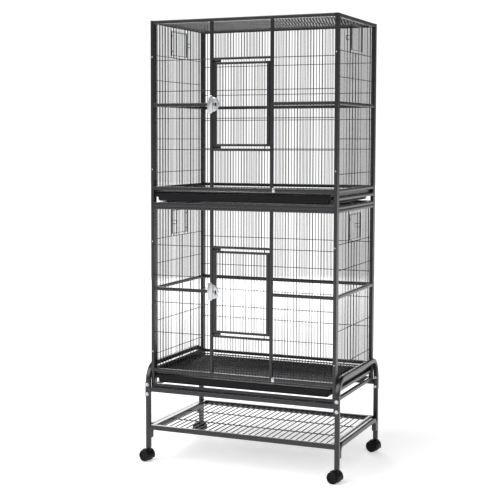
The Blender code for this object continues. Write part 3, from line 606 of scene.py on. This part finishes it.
def build_side_wall(tier, hand, side):
    """A side wall with the feeder opening at its top and two ledges inside its foot."""
    size = bpy.context.scene.cage_sizes
    node = f"{tier}_{side}_panel"
    low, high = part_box(node)
    tube, corner = size.tube, size.tube_corner
    outer = high.x if hand > 0 else low.x
    a, b = sorted((outer, outer - hand * tube))
    end = high.y
    inner = end - tube
    base, top = low.z, high.z
    plane = outer - hand * tube / 2
    tubes = [
        bar((a, -end, base), (b, -inner, top), corner, "Z"),
        bar((a, inner, base), (b, end, top), corner, "Z"),
    ]
    for foot in (0, RUNNER_FOOT, FLOOR_RAIL_FOOT, MID_RAIL - tube / 2, top - base - tube):
        tubes.append(bar((a, -inner, base + foot), (b, inner, base + foot + tube), corner, "Y"))
    wall = outer - hand * tube
    for reach, foot, ledge_top in (TRAY_LEDGE, FLOOR_LEDGE):
        x0, x1 = sorted((wall + hand * BITE, wall - hand * reach))
        tubes.append(
            bar((x0, -end + 0.001, base + foot), (x1, end - 0.001, base + ledge_top), 0.0006, "Y", 1)
        )
    x0, x1 = sorted((wall + hand * 0.0016, wall))
    web_foot, web_top = LEDGE_WEB
    tubes.append(
        bar((x0, -end + 0.001, base + web_foot), (x1, end - 0.001, base + web_top), 0.0004, "Y", 1)
    )
    floor_top = base + FLOOR_RAIL_FOOT + tube
    sill = base + CUP_SILL
    wires = [side_row(-inner, inner, floor_top, sill, plane, size)]
    for y0, y1 in ((-inner, -CUP_JAMB - 0.005), (CUP_JAMB + 0.005, inner)):
        wires.append(side_row(y0, y1, sill, top - tube, plane, size))
    wires.append(side_row(-CUP_JAMB, CUP_JAMB, sill - 0.001, sill + 0.0078, plane, size))
    header = base + CUP_HEADER
    wires.append(side_row(-CUP_JAMB, CUP_JAMB, header, top - tube, plane, size))
    wires.append(wire((plane, -CUP_JAMB - 0.003, header), (plane, CUP_JAMB + 0.003, header), 0.0024))
    for y in (-CUP_JAMB - 0.003, CUP_JAMB + 0.003):
        wires.append(wire((plane, y, sill - 0.002), (plane, y, top - tube + 0.002), 0.0030))
    x = plane - hand * crossing(size)
    for z in SIDE_CROSS_WIRES:
        wires.append(wire((x, -inner - BITE, base + z), (x, inner + BITE, base + z), size.cross))
    dressed(joined("tubes", tubes), f"{tier}_{side}_wall_tubes", ROOT, [node], COAT)
    dressed(joined("wires", wires), f"{tier}_{side}_wall_wires", ROOT, [node], COAT)


def build_mat(node, name, body):
    """A flat wire panel: an edge rod, wires from front to back and cross wires under them."""
    size = bpy.context.scene.cage_sizes
    low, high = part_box(node)
    z = (low.z + high.z) / 2
    rod = size.rod
    half = rod / 2
    x0, x1, y0, y1 = low.x + half, high.x - half, low.y + half, high.y - half
    rods = [
        wire((x0, y0, z), (x1, y0, z), rod, 10),
        wire((x0, y1, z), (x1, y1, z), rod, 10),
        wire((x0, y0 - half * 0.6, z), (x0, y1 + half * 0.6, z), rod, 10),
        wire((x1, y0 - half * 0.6, z), (x1, y1 + half * 0.6, z), rod, 10),
    ]
    first, step, count = gaps_between(x0, x1, size.wire_gap)
    lift = size.upright * 0.4
    long_wire = wire((first, y0, z + lift), (first, y1, z + lift), size.upright)
    rods.append(in_a_row(long_wire, (step, 0, 0), count))
    first, step, count = gaps_between(y0, y1, (y1 - y0) / (MAT_CROSS_WIRES + 1))
    drop = z + lift - crossing(size)
    cross = wire((x0, first, drop), (x1, first, drop), size.cross)
    rods.append(in_a_row(cross, (0, step, 0), count))
    dressed(joined("mat", rods), name, body, [node], COAT)


def build_tray(tier):
    """A round-cornered pan with a rim that turns down at its edge."""
    size = bpy.context.scene.cage_sizes
    node = f"{tier}_tray"
    walls = f"{node}_walls"
    low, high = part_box(walls)
    low.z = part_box(node)[0].z
    lip_foot = high.z - TRAY_LIP_DROP
    front, back = low.y + TRAY_END_STEP, high.y - TRAY_END_STEP
    body = high.x - TRAY_STEP_IN
    nothing_selected()
    bpy.ops.mesh.primitive_cube_add(
        size=1, location=(0, (front + back) / 2, (low.z + high.z) / 2),
        scale=(2 * body, back - front, high.z - low.z))
    pan = bpy.context.object
    settle(pan)
    edit(pan, "EDGE")
    pick_edges(pan, lambda a, b: abs((b - a).z) > 0.01)
    bpy.ops.mesh.bevel(offset=0.008, segments=4, affect="EDGES")
    bpy.ops.mesh.select_all(action="DESELECT")
    pick_edges(pan, lambda a, b: a.z < low.z + 0.0001 and b.z < low.z + 0.0001)
    bpy.ops.mesh.bevel(offset=0.0095, segments=5, affect="EDGES")
    choose("FACE")
    pick_faces(pan, lambda middle, normal: normal.z > 0.9 and middle.z > high.z - 0.001)
    bpy.ops.mesh.delete(type="FACE")
    done_editing()
    apply_modifier(pan, "SOLIDIFY", thickness=size.tray_wall, offset=-1)
    web_foot, web_top = high.z - TRAY_LIP, high.z - 0.0002
    rim = (
        ((-high.x, low.y, lip_foot), (-high.x + TRAY_LIP, high.y, high.z)),
        ((high.x - TRAY_LIP, low.y, lip_foot), (high.x, high.y, high.z)),
        ((-high.x, low.y, lip_foot), (high.x, low.y + TRAY_LIP, high.z)),
        ((-high.x, high.y - TRAY_LIP, lip_foot), (high.x, high.y, high.z)),
        ((-high.x, low.y, web_foot), (-body + BITE, high.y, web_top)),
        ((body - BITE, low.y, web_foot), (high.x, high.y, web_top)),
        ((-body, low.y, web_foot), (body, front + BITE, web_top)),
        ((-body, back - BITE, web_foot), (body, high.y, web_top)),
    )
    lip = [bar(start, end, 0.0009) for start, end in rim]
    dressed(joined("tray", [pan, *lip]), f"{tier}_tray_pan", node, [node, walls], TRAY_PLASTIC)


def build_door(tier):
    size = bpy.context.scene.cage_sizes
    node = f"{tier}_door"
    low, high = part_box(node)
    front, back = low.y, high.y
    plane = (front + back) / 2
    foot, top = low.z + DOOR_PIN_REACH, high.z - DOOR_PIN_REACH
    rail, corner = SLIM_RAIL, size.tube_corner
    inner = high.x - DOOR_STILE
    parts = [
        bar((-high.x, front, foot), (-inner, back, top), corner, "Z"),
        bar((inner, front, foot), (high.x, back, top), corner, "Z"),
        bar((-inner, front, foot), (inner, back, foot + rail), corner, "X"),
        bar((-inner, front, top - rail), (inner, back, top), corner, "X"),
    ]
    hinge_x = high.x - HINGE_INSET
    for z0, z1 in ((low.z + 0.0005, foot + 0.003), (top - 0.003, high.z - 0.0005)):
        parts.append(wire((hinge_x, plane, z0), (hinge_x, plane, z1), DOOR_PIN, 16))
    parts.append(upright_row(-inner, inner, foot + rail, top - rail, plane, size))
    y = plane + crossing(size)
    middle = (foot + top) / 2
    for z in (middle - DOOR_WIRE_SPREAD, middle + DOOR_WIRE_SPREAD):
        parts.append(wire((-inner - BITE, y, z), (inner + BITE, y, z), size.cross))
    dressed(joined("door", parts), f"{tier}_front_door", node, [node], COAT)


def latch_keeper(tier):
    """The plate on the wall, with a rivet head above and below."""
    node = f"{tier}_latch_plate"
    low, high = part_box(node)
    keeper = bar(low, high, 0.0075, "Y", 6)
    edit(keeper, "EDGE")
    pick_edges(keeper, lambda a, b: a.y < low.y + 0.0001 and b.y < low.y + 0.0001)
    bpy.ops.mesh.bevel(offset=0.0005, segments=2, affect="EDGES")
    done_editing()
    middle = (low + high) / 2
    rivets = [
        turned([(0, 0), (0.0026, 0), (0.0022, 0.0007), (0, 0.001)],
               (middle.x, low.y, middle.z + dz), (0, -1, 0), 16)
        for dz in (-RIVET_DROP, RIVET_DROP)
    ]
    dressed(joined("keeper", [keeper, *rivets]), f"{tier}_latch_keeper", ROOT, [node], ZINC)


def latch_lever(tier):
    """The slotted half-round lever on the door, with its stem and boss."""
    node = f"{tier}_latch_lever"
    low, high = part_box(node)
    thick = LEVER_THICKNESS
    front, back = low.y, low.y + thick
    z = (low.z + high.z) / 2
    half_high = (high.z - low.z) / 2
    nothing_selected()
    bpy.ops.mesh.primitive_cylinder_add(
        vertices=48, radius=half_high, depth=thick, location=(low.x, (front + back) / 2, z),
        rotation=(math.pi / 2, 0, 0))
    plate = bpy.context.object
    plate.scale.x = (high.x - low.x) / half_high
    settle(plate)
    edit(plate, "FACE")
    bpy.ops.mesh.select_all(action="SELECT")
    bpy.ops.mesh.bisect(
        plane_co=(low.x, front, z), plane_no=(1, 0, 0), use_fill=True, clear_inner=True)
    done_editing()
    slot = bar((low.x + 0.010, front - 0.002, z - 0.008), (low.x + 0.017, back + 0.002, z + 0.008),
               0.0034, "Y", 5)
    cut_with(plate, slot)
    apply_modifier(plate, "BEVEL", width=0.0007, segments=2, limit_method="ANGLE")
    stem = bar((low.x, front, low.z + 0.004),
               (low.x + LEVER_BAR * 0.55, front + thick * 0.9, high.z - 0.004), 0.0012)
    boss = turned([(0, -0.0032), (0.0031, -0.0032), (0.0031, thick), (0.0027, thick), (0, thick)],
                  (low.x + LEVER_BAR / 2, back, z), (0, -1, 0), 20)
    dressed(joined("lever", [plate, stem, boss]), f"{tier}_latch_handle", node, [node], ZINC)


def build_clip(tier):
    node = f"{tier}_floor_clip"
    dressed(bar(*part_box(node), 0.0009), f"{tier}_rail_clip", ROOT, [node], ZINC)


def build_feeder_door(tier, hand, side):
    size = bpy.context.scene.cage_sizes
    node = f"{tier}_cup_door_{side}"
    low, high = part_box(node)
    loops_rear = {"lower": 1, "upper": -1}[tier] * hand
    plane = (high.x - 0.003) if hand > 0 else (low.x + 0.003)
    foot, top = low.z, high.z
    wide = high.y
    rod, edge_rod = CUP_ROD, CUP_EDGE_ROD
    closing_y = loops_rear * (wide - edge_rod / 2)
    hinge_y = -loops_rear * (wide - rod / 2)
    parts = [
        wire((plane, closing_y, foot), (plane, closing_y, top), edge_rod, 12),
        wire((plane, hinge_y, foot), (plane, hinge_y, top), rod, 10),
    ]
    y0, y1 = sorted((closing_y, hinge_y))
    for z in (foot + rod / 2 + 0.0004, top - rod / 2 - 0.0004):
        parts.append(wire((plane, y0, z), (plane, y1, z), rod, 10))
    parts.append(side_row(y0, y1, foot + rod / 2, top - rod / 2, plane, size))
    middle = (foot + top) / 2
    reach = (low.x if hand > 0 else high.x) + hand * 0.0015
    for z in (middle - CUP_LOOP_HALF, middle + CUP_LOOP_HALF):
        parts.append(wire((plane, closing_y, z), (reach, closing_y, z), CUP_LOOP_WIRE))
    end = CUP_LOOP_HALF + BITE
    parts.append(
        wire((reach, closing_y, middle - end), (reach, closing_y, middle + end), CUP_LOOP_WIRE))
    for z in (foot + 0.018, top - 0.018):
        parts.append(
            turned([(0.0026, -0.0022), (0.0034, -0.0022), (0.0034, 0.0022), (0.0026, 0.0022),
                    (0.0026, -0.0022)], (plane, hinge_y, z), (0, 0, 1), 12)
        )
    name = f"{tier}_feeder_door_{side}"
    dressed(joined("feeder", parts), name, node, [node], COAT)


def screw_head(middle, axis, radius, height):
    """A pan head with a round recess."""
    return turned(
        [(0, -0.0005), (radius, -0.0005), (radius, height * 0.35), (radius * 0.8, height * 0.85),
         (radius * 0.45, height), (radius * 0.4, height * 0.45), (0, height * 0.45)],
        middle, axis, 20)


def build_screws(tier):
    half_w, face, base, _top = cage_box(tier)
    x = half_w - bpy.context.scene.cage_sizes.tube / 2
    for sx, side in SIDES:
        heads = [
            screw_head((sx * x, sy * -face, base + z), (0, sy, 0), 0.0026, 0.0004)
            for sy in (-1, 1)
            for z in (0.151, 0.616)
        ]
        dressed(joined("screws", heads), f"{tier}_corner_screws_{side}", ROOT, [], ZINC)


# Stand


def leg_names(sx, sy):
    return f"{'front' if sy < 0 else 'rear'}_{'left' if sx < 0 else 'right'}"


def build_leg(sx, sy):
    """A square tube that is open at its foot."""
    size = bpy.context.scene.stand_sizes
    corner = leg_names(sx, sy)
    low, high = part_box(f"{corner}_leg")
    leg = bar(low, high, size.tube_corner, "Z", 3)
    edit(leg, "FACE")
    pick_faces(leg, lambda middle, normal: normal.z < -0.9)
    bpy.ops.mesh.inset(thickness=0.0016, depth=0)
    bpy.ops.mesh.extrude_region_move(TRANSFORM_OT_translate={"value": (0, 0, 0.012)})
    done_editing()
    dressed(leg, f"{corner}_stand_leg", ROOT, [f"{corner}_leg"], COAT)


def build_arch(side):
    size = bpy.context.scene.stand_sizes
    node = f"end_frame_{side}"
    low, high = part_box(node)
    half = size.tube / 2
    x = (low.x + high.x) / 2
    reach = high.y - half
    top = high.z - half
    radius = size.arch_radius
    rise = top - radius - low.z - size.tube
    run = 2 * (reach - radius)
    tube = bent_tube(
        (x, -reach, low.z), size.tube, size.tube_corner,
        [
            ("run", (0, 0, rise)),
            ("bend", (x, -reach + radius, top - radius), (1, 0, 0), -math.pi / 2),
            ("run", (0, run, 0)),
            ("bend", (x, reach - radius, top - radius), (1, 0, 0), -math.pi / 2),
            ("run", (0, 0, -rise - size.tube)),
        ],
        12,
    )
    dressed(tube, f"{side}_end_arch", ROOT, [node], COAT)


def build_side_bar(side):
    size = bpy.context.scene.stand_sizes
    node = f"shelf_hoop_{side}"
    low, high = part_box(node)
    half = size.tube / 2
    x = (low.x + high.x) / 2
    reach = high.y - half
    top = high.z - half
    radius = size.hoop_radius
    rise = top - radius - low.z - size.tube
    moves = [
        ("bend", (x, -reach + radius, top - radius), (1, 0, 0), -math.pi / 2),
        ("run", (0, 2 * (reach - radius), 0)),
        ("bend", (x, reach - radius, top - radius), (1, 0, 0), -math.pi / 2),
    ]
    if rise > 0.0001:
        moves.insert(0, ("run", (0, 0, rise)))
    moves.append(("run", (0, 0, -(top - radius - low.z))))
    tube = bent_tube((x, -reach, low.z), size.tube, size.tube_corner, moves, 10)
    dressed(tube, f"shelf_{side}_bar", ROOT, [node], COAT)


def build_carrying_rail(sy):
    """The rail under the cages and the plates at its ends, which the bolts hold."""
    size = bpy.context.scene.stand_sizes
    name = "front" if sy < 0 else "rear"
    node = f"{name}_rail"
    low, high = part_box(node)
    leg_low, leg_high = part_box(leg_names(1, sy) + "_leg")
    leg_face = leg_low.y if sy < 0 else leg_high.y
    inside = leg_low.x - 0.0004
    outer = low.y if sy < 0 else high.y
    inner = high.y if sy < 0 else low.y
    rail_outer = outer - sy * 0.0013
    a, b = sorted((inner, rail_outer))
    parts = [bar((-inside, a, RAIL_FOOT), (inside, b, RAIL_TOP), size.tube_corner, "X", 3)]
    a, b = sorted((outer, leg_face + sy * 0.0004))
    for sx in (-1, 1):
        x0, x1 = sorted((sx * (leg_low.x - 0.0035), sx * (leg_low.x + 0.0187)))
        parts.append(bar((x0, a, low.z), (x1, b, high.z), 0.003, "Y", 4))
    dressed(joined("rail", parts), f"{name}_carrying_rail", ROOT, [node], COAT)


def build_bolts(sx, sy):
    """Each bolt's head, washer, shank and nut, turned as one piece."""
    corner = leg_names(sx, sy)
    for level in ("low", "high"):
        node = f"bolt_{corner}_{level}"
        low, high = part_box(node)
        middle = (low + high) / 2
        outer = low.y if sy < 0 else high.y
        inner = high.y if sy < 0 else low.y
        seat = outer - sy * BOLT_SEAT
        nut = inner + sy * NUT_HEIGHT
        shank = abs(seat - nut)
        radius = (high.x - low.x) / 2
        profile = [
            (0, BOLT_SEAT), (0.0028, 0.00455), (0.0048, 0.0038), (0.0061, 0.0024), (0.0063, 0.0012),
            (radius - 0.0002, 0.0012), (radius, 0.0009), (radius, 0.0),
            (0.003, 0.0), (0.003, -shank), (0.0048, -shank), (0.0055, -shank - 0.0006),
            (0.0055, -shank - 0.0034), (0.0048, -shank - NUT_HEIGHT), (0, -shank - NUT_HEIGHT),
        ]
        bolt = turned(profile[::-1], (middle.x, seat, middle.z), (0, sy, 0), 24)
        dressed(bolt, f"{corner}_bolt_{level}", ROOT, [node], ZINC)


def build_shelf():
    size = bpy.context.scene.stand_sizes
    low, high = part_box("shelf")
    corner = 0.0022
    rail, side_rail = size.tube, SHELF_SIDE_RAIL
    z0, z1 = low.z, high.z
    parts = [
        bar((low.x, low.y, z0), (high.x, low.y + rail, z1), corner, "X", 3),
        bar((low.x, high.y - rail, z0), (high.x, high.y, z1), corner, "X", 3),
        bar((low.x, low.y + rail, z0), (low.x + side_rail, high.y - rail, z1), corner, "Y", 3),
        bar((high.x - side_rail, low.y + rail, z0), (high.x, high.y - rail, z1), corner, "Y", 3),
    ]
    inner_x = high.x - side_rail
    inner_y = high.y - rail
    level = (z0 + z1) / 2 + 0.002
    first, step, count = gaps_between(-inner_x, inner_x, size.shelf_gap)
    long_wire = wire((first, -inner_y - BITE, level), (first, inner_y + BITE, level),
                     size.shelf_wire, 10)
    parts.append(in_a_row(long_wire, (step, 0, 0), count))
    drop = level - size.shelf_wire * 0.9
    first, step, count = gaps_between(-inner_y, inner_y, 2 * inner_y / 3)
    cross = wire((-inner_x - BITE, first, drop), (inner_x + BITE, first, drop),
                 size.shelf_wire, 10)
    parts.append(in_a_row(cross, (0, step, 0), count))
    dressed(joined("shelf", parts), "wire_shelf", ROOT, ["shelf"], COAT)
    for sx, side in SIDES:
        heads = [
            screw_head(
                (sx * inner_x, sy * (inner_y - 0.03), (z0 + z1) / 2), (-sx, 0, 0), 0.006, 0.0035)
            for sy in (-1, 1)
        ]
        dressed(joined("heads", heads), f"shelf_bolts_{side}", ROOT, [], ZINC)


def swept_sector(inner, outer, reach, ease):
    """A bent plate round the axle: a section across the axle swept from level to behind."""
    nothing_selected()
    sliver = 0.0005
    bpy.ops.mesh.primitive_cube_add(
        size=1, location=((inner + outer) / 2, 0, sliver / 2),
        scale=(outer - inner, 2 * reach, sliver))
    plate = bpy.context.object
    settle(plate)
    edit(plate, "EDGE")
    pick_edges(plate, lambda a, b: abs((b - a).z) > sliver / 2)
    bpy.ops.mesh.bevel(offset=ease, segments=2, affect="EDGES")
    choose("FACE")
    pick_faces(plate, lambda middle, normal: normal.z > 0.9)
    bpy.ops.mesh.spin(
        steps=18, angle=math.radians(FENDER_SWEEP), center=(0, 0, 0), axis=(0, 1, 0))
    weld_seams()
    bpy.ops.transform.rotate(
        value=math.radians(-FENDER_TILT), orient_axis="Y", center_override=(0, 0, 0))
    done_editing()
    return plate


def castor_wheel_profile(radius):
    """One wheel's (radius, place along the axle), from its outer face to its inner one."""
    edge = radius * 0.12
    track, web = WHEEL_TRACK, WHEEL_INNER_FACE
    return [
        (0, track - 0.0022), (0.0058, track - 0.0022), (0.0066, track - 0.0034),
        (radius * 0.62, track - 0.0034), (radius * 0.68, track - 0.0008),
        (radius * 0.80, track - 0.0002), (radius - edge, track - 0.0008),
        (radius - 0.0006, track - edge), (radius, track - edge * 1.6),
        (radius, web + edge * 0.6), (radius - 0.0008, web + 0.0002), (0.0062, web + 0.0002),
    ]


def castor_hood(hub, heading, radius, stem_xy, top):
    """The fender over both wheels, the web and ring that hold the axle, and the stem."""
    inner = radius + FENDER_GAP
    fender = swept_sector(inner, inner + FENDER_WALL, WHEEL_TRACK - 0.0001, 0.0009)
    web = swept_sector(0.0092, inner + 0.001, WEB_HALF, 0.0006)
    hub_ring = turned(
        [(0.0068, -WEB_HALF), (0.0105, -WEB_HALF), (0.0105, WEB_HALF), (0.0068, WEB_HALF),
         (0.0068, -WEB_HALF)], (0, 0, 0), (0, 1, 0), 24)
    hood = joined("hood", [fender, web, hub_ring])
    hood.rotation_euler = (0, 0, math.atan2(-heading.y, -heading.x))
    hood.location = hub
    settle(hood)
    shoulder = top - 0.022
    stem = turned(
        [(0, hub.z + 0.019), (0.0085, hub.z + 0.019), (0.0088, hub.z + 0.021),
         (0.0088, shoulder - 0.001), (0.008, shoulder), (0.004, shoulder), (0.004, top - 0.001),
         (0.003, top), (0, top)],
        (*stem_xy, 0), (0, 0, 1), 28)
    return joined("hood", [hood, stem])


def build_castor(sx, sy):
    corner = leg_names(sx, sy)
    low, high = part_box(f"castor_socket_{corner}")
    x, y = (low.x + high.x) / 2, (low.y + high.y) / 2
    roll = next(joint for joint in frame["joints"] if joint["name"] == f"castor_{corner}_roll")
    hub, axle = Vector(roll["pos_m"]), Vector(roll["axis"])
    heading = (hub - Vector((x, y, hub.z))).normalized()
    radius = bpy.context.scene.stand_sizes.wheel_radius
    socket = turned(
        [(0.0045, 0), (0.0084, 0), (0.009, 0.0006), (0.009, 0.0025), (0.0075, 0.0025),
         (0.0075, 0.0255), (0.0045, 0.0255), (0.0045, 0)],
        (x, y, low.z), (0, 0, 1), 24)
    dressed(socket, f"{corner}_castor_socket", ROOT, [f"castor_socket_{corner}"], TRAY_PLASTIC)
    side = castor_wheel_profile(radius)
    wheels = turned([(r, -along) for r, along in side] + side[::-1], hub, axle, 40)
    dressed(wheels, f"{corner}_castor_wheels", f"castor_wheels_{corner}",
            [f"castor_wheels_{corner}"], WHEEL, 35)
    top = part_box(f"castor_hood_{corner}")[1].z
    hood = castor_hood(hub, heading, radius, (x, y), top)
    dressed(hood, f"{corner}_castor_hood", f"castor_{corner}", [f"castor_hood_{corner}"],
            TRAY_PLASTIC, 35)


# Stage


def build_stage():
    """A pale floor, a white surround, soft lights and the camera."""
    nothing_selected()
    bpy.ops.mesh.primitive_plane_add(size=60, location=(0, 0, 0))
    floor = bpy.context.object
    floor.name = "studio_floor"
    pale, shader = shader_material("pale_floor", (0.95, 0.95, 0.95), 0.9)
    shader.inputs["Emission Color"].default_value = (1, 1, 1, 1)
    shader.inputs["Emission Strength"].default_value = FLOOR_GLOW
    floor.data.materials.append(pale)
    light_the_surround()
    for name, place, spread, strength in SUNS:
        bpy.ops.object.light_add(type="SUN", location=place)
        sun = bpy.context.object
        sun.name = f"{name}_light"
        sun.data.angle = math.radians(spread)
        sun.data.energy = strength
        sun.rotation_euler = Vector(place).to_track_quat("Z", "Y").to_euler()
    bpy.ops.object.light_add(type="AREA", location=BACKDROP_PLACE)
    backdrop = bpy.context.object
    backdrop.name = "backdrop_light"
    backdrop.data.shape = "RECTANGLE"
    backdrop.data.size, backdrop.data.size_y = BACKDROP_SIZE
    backdrop.data.energy = BACKDROP_POWER
    aim = Vector(BACKDROP_PLACE) - Vector((0, 0, 1))
    backdrop.rotation_euler = aim.to_track_quat("Z", "Y").to_euler()
    bpy.ops.object.camera_add(location=CAMERA_PLACE, rotation=(
        math.radians(90 - CAMERA_PITCH), 0, math.radians(CAMERA_HEADING)))
    camera = bpy.context.object
    camera.name = "studio_camera"
    camera.data.sensor_width = 36
    camera.data.lens = CAMERA_LENS
    camera.data.shift_x, camera.data.shift_y = CAMERA_SHIFT
    camera.data.clip_end = 200
    bpy.context.scene.camera = camera
    bpy.context.scene.view_settings.view_transform = "Standard"


def light_the_surround():
    """White where it is seen, and dim where it only lights the object."""
    world = bpy.data.worlds.new("white_surround")
    world.use_nodes = True
    tree = world.node_tree
    dim = tree.nodes["Background"]
    dim.inputs["Color"].default_value = (1, 1, 1, 1)
    dim.inputs["Strength"].default_value = SURROUND_LIGHT
    white = tree.nodes.new("ShaderNodeBackground")
    white.inputs["Color"].default_value = (1, 1, 1, 1)
    white.inputs["Strength"].default_value = SEEN_WHITE
    path = tree.nodes.new("ShaderNodeLightPath")
    mix = tree.nodes.new("ShaderNodeMixShader")
    tree.links.new(path.outputs["Is Camera Ray"], mix.inputs["Fac"])
    tree.links.new(dim.outputs["Background"], mix.inputs[1])
    tree.links.new(white.outputs["Background"], mix.inputs[2])
    tree.links.new(mix.outputs["Shader"], tree.nodes["World Output"].inputs["Surface"])
    bpy.context.scene.world = world


class CAGE_OT_front_walls(bpy.types.Operator):
    """Models the tubes and wires of the front walls."""

    bl_idname = "cage.front_walls"
    bl_label = "Front Walls"

    def execute(self, context):
        for tier in TIERS:
            build_front_wall(tier)
        return {"FINISHED"}


class CAGE_OT_back_walls(bpy.types.Operator):
    """Models the tubes and wires of the back walls."""

    bl_idname = "cage.back_walls"
    bl_label = "Back Walls"

    def execute(self, context):
        for tier in TIERS:
            build_back_wall(tier)
        return {"FINISHED"}


class CAGE_OT_side_walls(bpy.types.Operator):
    """Models the side walls with their ledges."""

    bl_idname = "cage.side_walls"
    bl_label = "Side Walls"

    def execute(self, context):
        for tier in TIERS:
            for hand, side in SIDES:
                build_side_wall(tier, hand, side)
        return {"FINISHED"}


class CAGE_OT_mats(bpy.types.Operator):
    """Models the flat wire panels."""

    bl_idname = "cage.mats"
    bl_label = "Roofs and Wire Floors"

    def execute(self, context):
        for tier in TIERS:
            build_mat(f"{tier}_top_panel", f"{tier}_roof", ROOT)
            grille = f"{tier}_floor_grille"
            build_mat(grille, f"{tier}_wire_floor", grille)
        return {"FINISHED"}


class CAGE_OT_trays(bpy.types.Operator):
    """Models the pull-out trays."""

    bl_idname = "cage.trays"
    bl_label = "Trays"

    def execute(self, context):
        for tier in TIERS:
            build_tray(tier)
        return {"FINISHED"}


class CAGE_OT_doors(bpy.types.Operator):
    """Models the front doors with their pivots."""

    bl_idname = "cage.doors"
    bl_label = "Front Doors"

    def execute(self, context):
        for tier in TIERS:
            build_door(tier)
        return {"FINISHED"}


class CAGE_OT_latches(bpy.types.Operator):
    """Models the keepers and levers."""

    bl_idname = "cage.latches"
    bl_label = "Latches"

    def execute(self, context):
        for tier in TIERS:
            latch_keeper(tier)
            latch_lever(tier)
        return {"FINISHED"}


class CAGE_OT_clips(bpy.types.Operator):
    """Models the clips on the floor rails."""

    bl_idname = "cage.clips"
    bl_label = "Rail Clips"

    def execute(self, context):
        for tier in TIERS:
            build_clip(tier)
        return {"FINISHED"}


class CAGE_OT_feeder_doors(bpy.types.Operator):
    """Models the small side doors."""

    bl_idname = "cage.feeder_doors"
    bl_label = "Feeder Doors"

    def execute(self, context):
        for tier in TIERS:
            for hand, side in SIDES:
                build_feeder_door(tier, hand, side)
        return {"FINISHED"}


class CAGE_OT_screws(bpy.types.Operator):
    """Models the screws in the corner posts."""

    bl_idname = "cage.screws"
    bl_label = "Corner Screws"

    def execute(self, context):
        for tier in TIERS:
            build_screws(tier)
        return {"FINISHED"}


class CAGE_OT_legs(bpy.types.Operator):
    """Models the legs of the stand."""

    bl_idname = "cage.legs"
    bl_label = "Legs"

    def execute(self, context):
        for sx, sy in CORNERS:
            build_leg(sx, sy)
        return {"FINISHED"}


class CAGE_OT_arches(bpy.types.Operator):
    """Models the bent end frames."""

    bl_idname = "cage.arches"
    bl_label = "End Arches"

    def execute(self, context):
        for _sign, side in SIDES:
            build_arch(side)
        return {"FINISHED"}


class CAGE_OT_side_bars(bpy.types.Operator):
    """Models the bent bars beside the shelf."""

    bl_idname = "cage.side_bars"
    bl_label = "Shelf Side Bars"

    def execute(self, context):
        for _sign, side in SIDES:
            build_side_bar(side)
        return {"FINISHED"}


class CAGE_OT_carrying_rails(bpy.types.Operator):
    """Models the rails under the cages."""

    bl_idname = "cage.carrying_rails"
    bl_label = "Carrying Rails"

    def execute(self, context):
        for sy in (-1, 1):
            build_carrying_rail(sy)
        return {"FINISHED"}


class CAGE_OT_bolts(bpy.types.Operator):
    """Models the bolts of the stand."""

    bl_idname = "cage.bolts"
    bl_label = "Bolts"

    def execute(self, context):
        for sx, sy in CORNERS:
            build_bolts(sx, sy)
        return {"FINISHED"}


class CAGE_OT_shelf(bpy.types.Operator):
    """Models the wire shelf and its bolts."""

    bl_idname = "cage.shelf"
    bl_label = "Shelf"

    def execute(self, context):
        build_shelf()
        return {"FINISHED"}


class CAGE_OT_castors(bpy.types.Operator):
    """Models the twin-wheel castors."""

    bl_idname = "cage.castors"
    bl_label = "Castors"

    def execute(self, context):
        for sx, sy in CORNERS:
            build_castor(sx, sy)
        return {"FINISHED"}


class CAGE_OT_stage(bpy.types.Operator):
    """Sets up the floor, lights and camera."""

    bl_idname = "cage.stage"
    bl_label = "Stage"

    def execute(self, context):
        build_stage()
        return {"FINISHED"}


# Stages of the work, in order
STEPS = (
    CAGE_OT_front_walls,
    CAGE_OT_back_walls,
    CAGE_OT_side_walls,
    CAGE_OT_mats,
    CAGE_OT_trays,
    CAGE_OT_doors,
    CAGE_OT_latches,
    CAGE_OT_clips,
    CAGE_OT_feeder_doors,
    CAGE_OT_screws,
    CAGE_OT_legs,
    CAGE_OT_arches,
    CAGE_OT_side_bars,
    CAGE_OT_carrying_rails,
    CAGE_OT_bolts,
    CAGE_OT_shelf,
    CAGE_OT_castors,
    CAGE_OT_stage,
)


class CAGE_PT_sidebar(bpy.types.Panel):
    """Lists the cage's sizes and the steps that model it."""

    bl_idname = "CAGE_PT_sidebar"
    bl_label = "Bird Cage"
    bl_space_type = "VIEW_3D"
    bl_region_type = "UI"
    bl_category = "Bird Cage"

    def draw(self, context):
        layout = self.layout
        for name, _group in GROUPS:
            group = getattr(context.scene, name)
            for key in group.__annotations__:
                layout.prop(group, key)
        for step in STEPS:
            layout.operator(step.bl_idname)


GROUPS = (("cage_sizes", CageSizes), ("stand_sizes", StandSizes), ("cage_finishes", CageFinishes))
CLASSES = (CageSizes, StandSizes, CageFinishes, *STEPS, CAGE_PT_sidebar)


def register():
    for cls in CLASSES:
        bpy.utils.register_class(cls)
    for name, group in GROUPS:
        setattr(bpy.types.Scene, name, bpy.props.PointerProperty(type=group))


def unregister():
    for name, _group in GROUPS:
        delattr(bpy.types.Scene, name)
    for cls in reversed(CLASSES):
        bpy.utils.unregister_class(cls)


def main():
    register()
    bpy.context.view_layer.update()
    for step in STEPS:
        category, name = step.bl_idname.split(".")
        getattr(getattr(bpy.ops, category), name)()


if __name__ == "__main__":
    main()
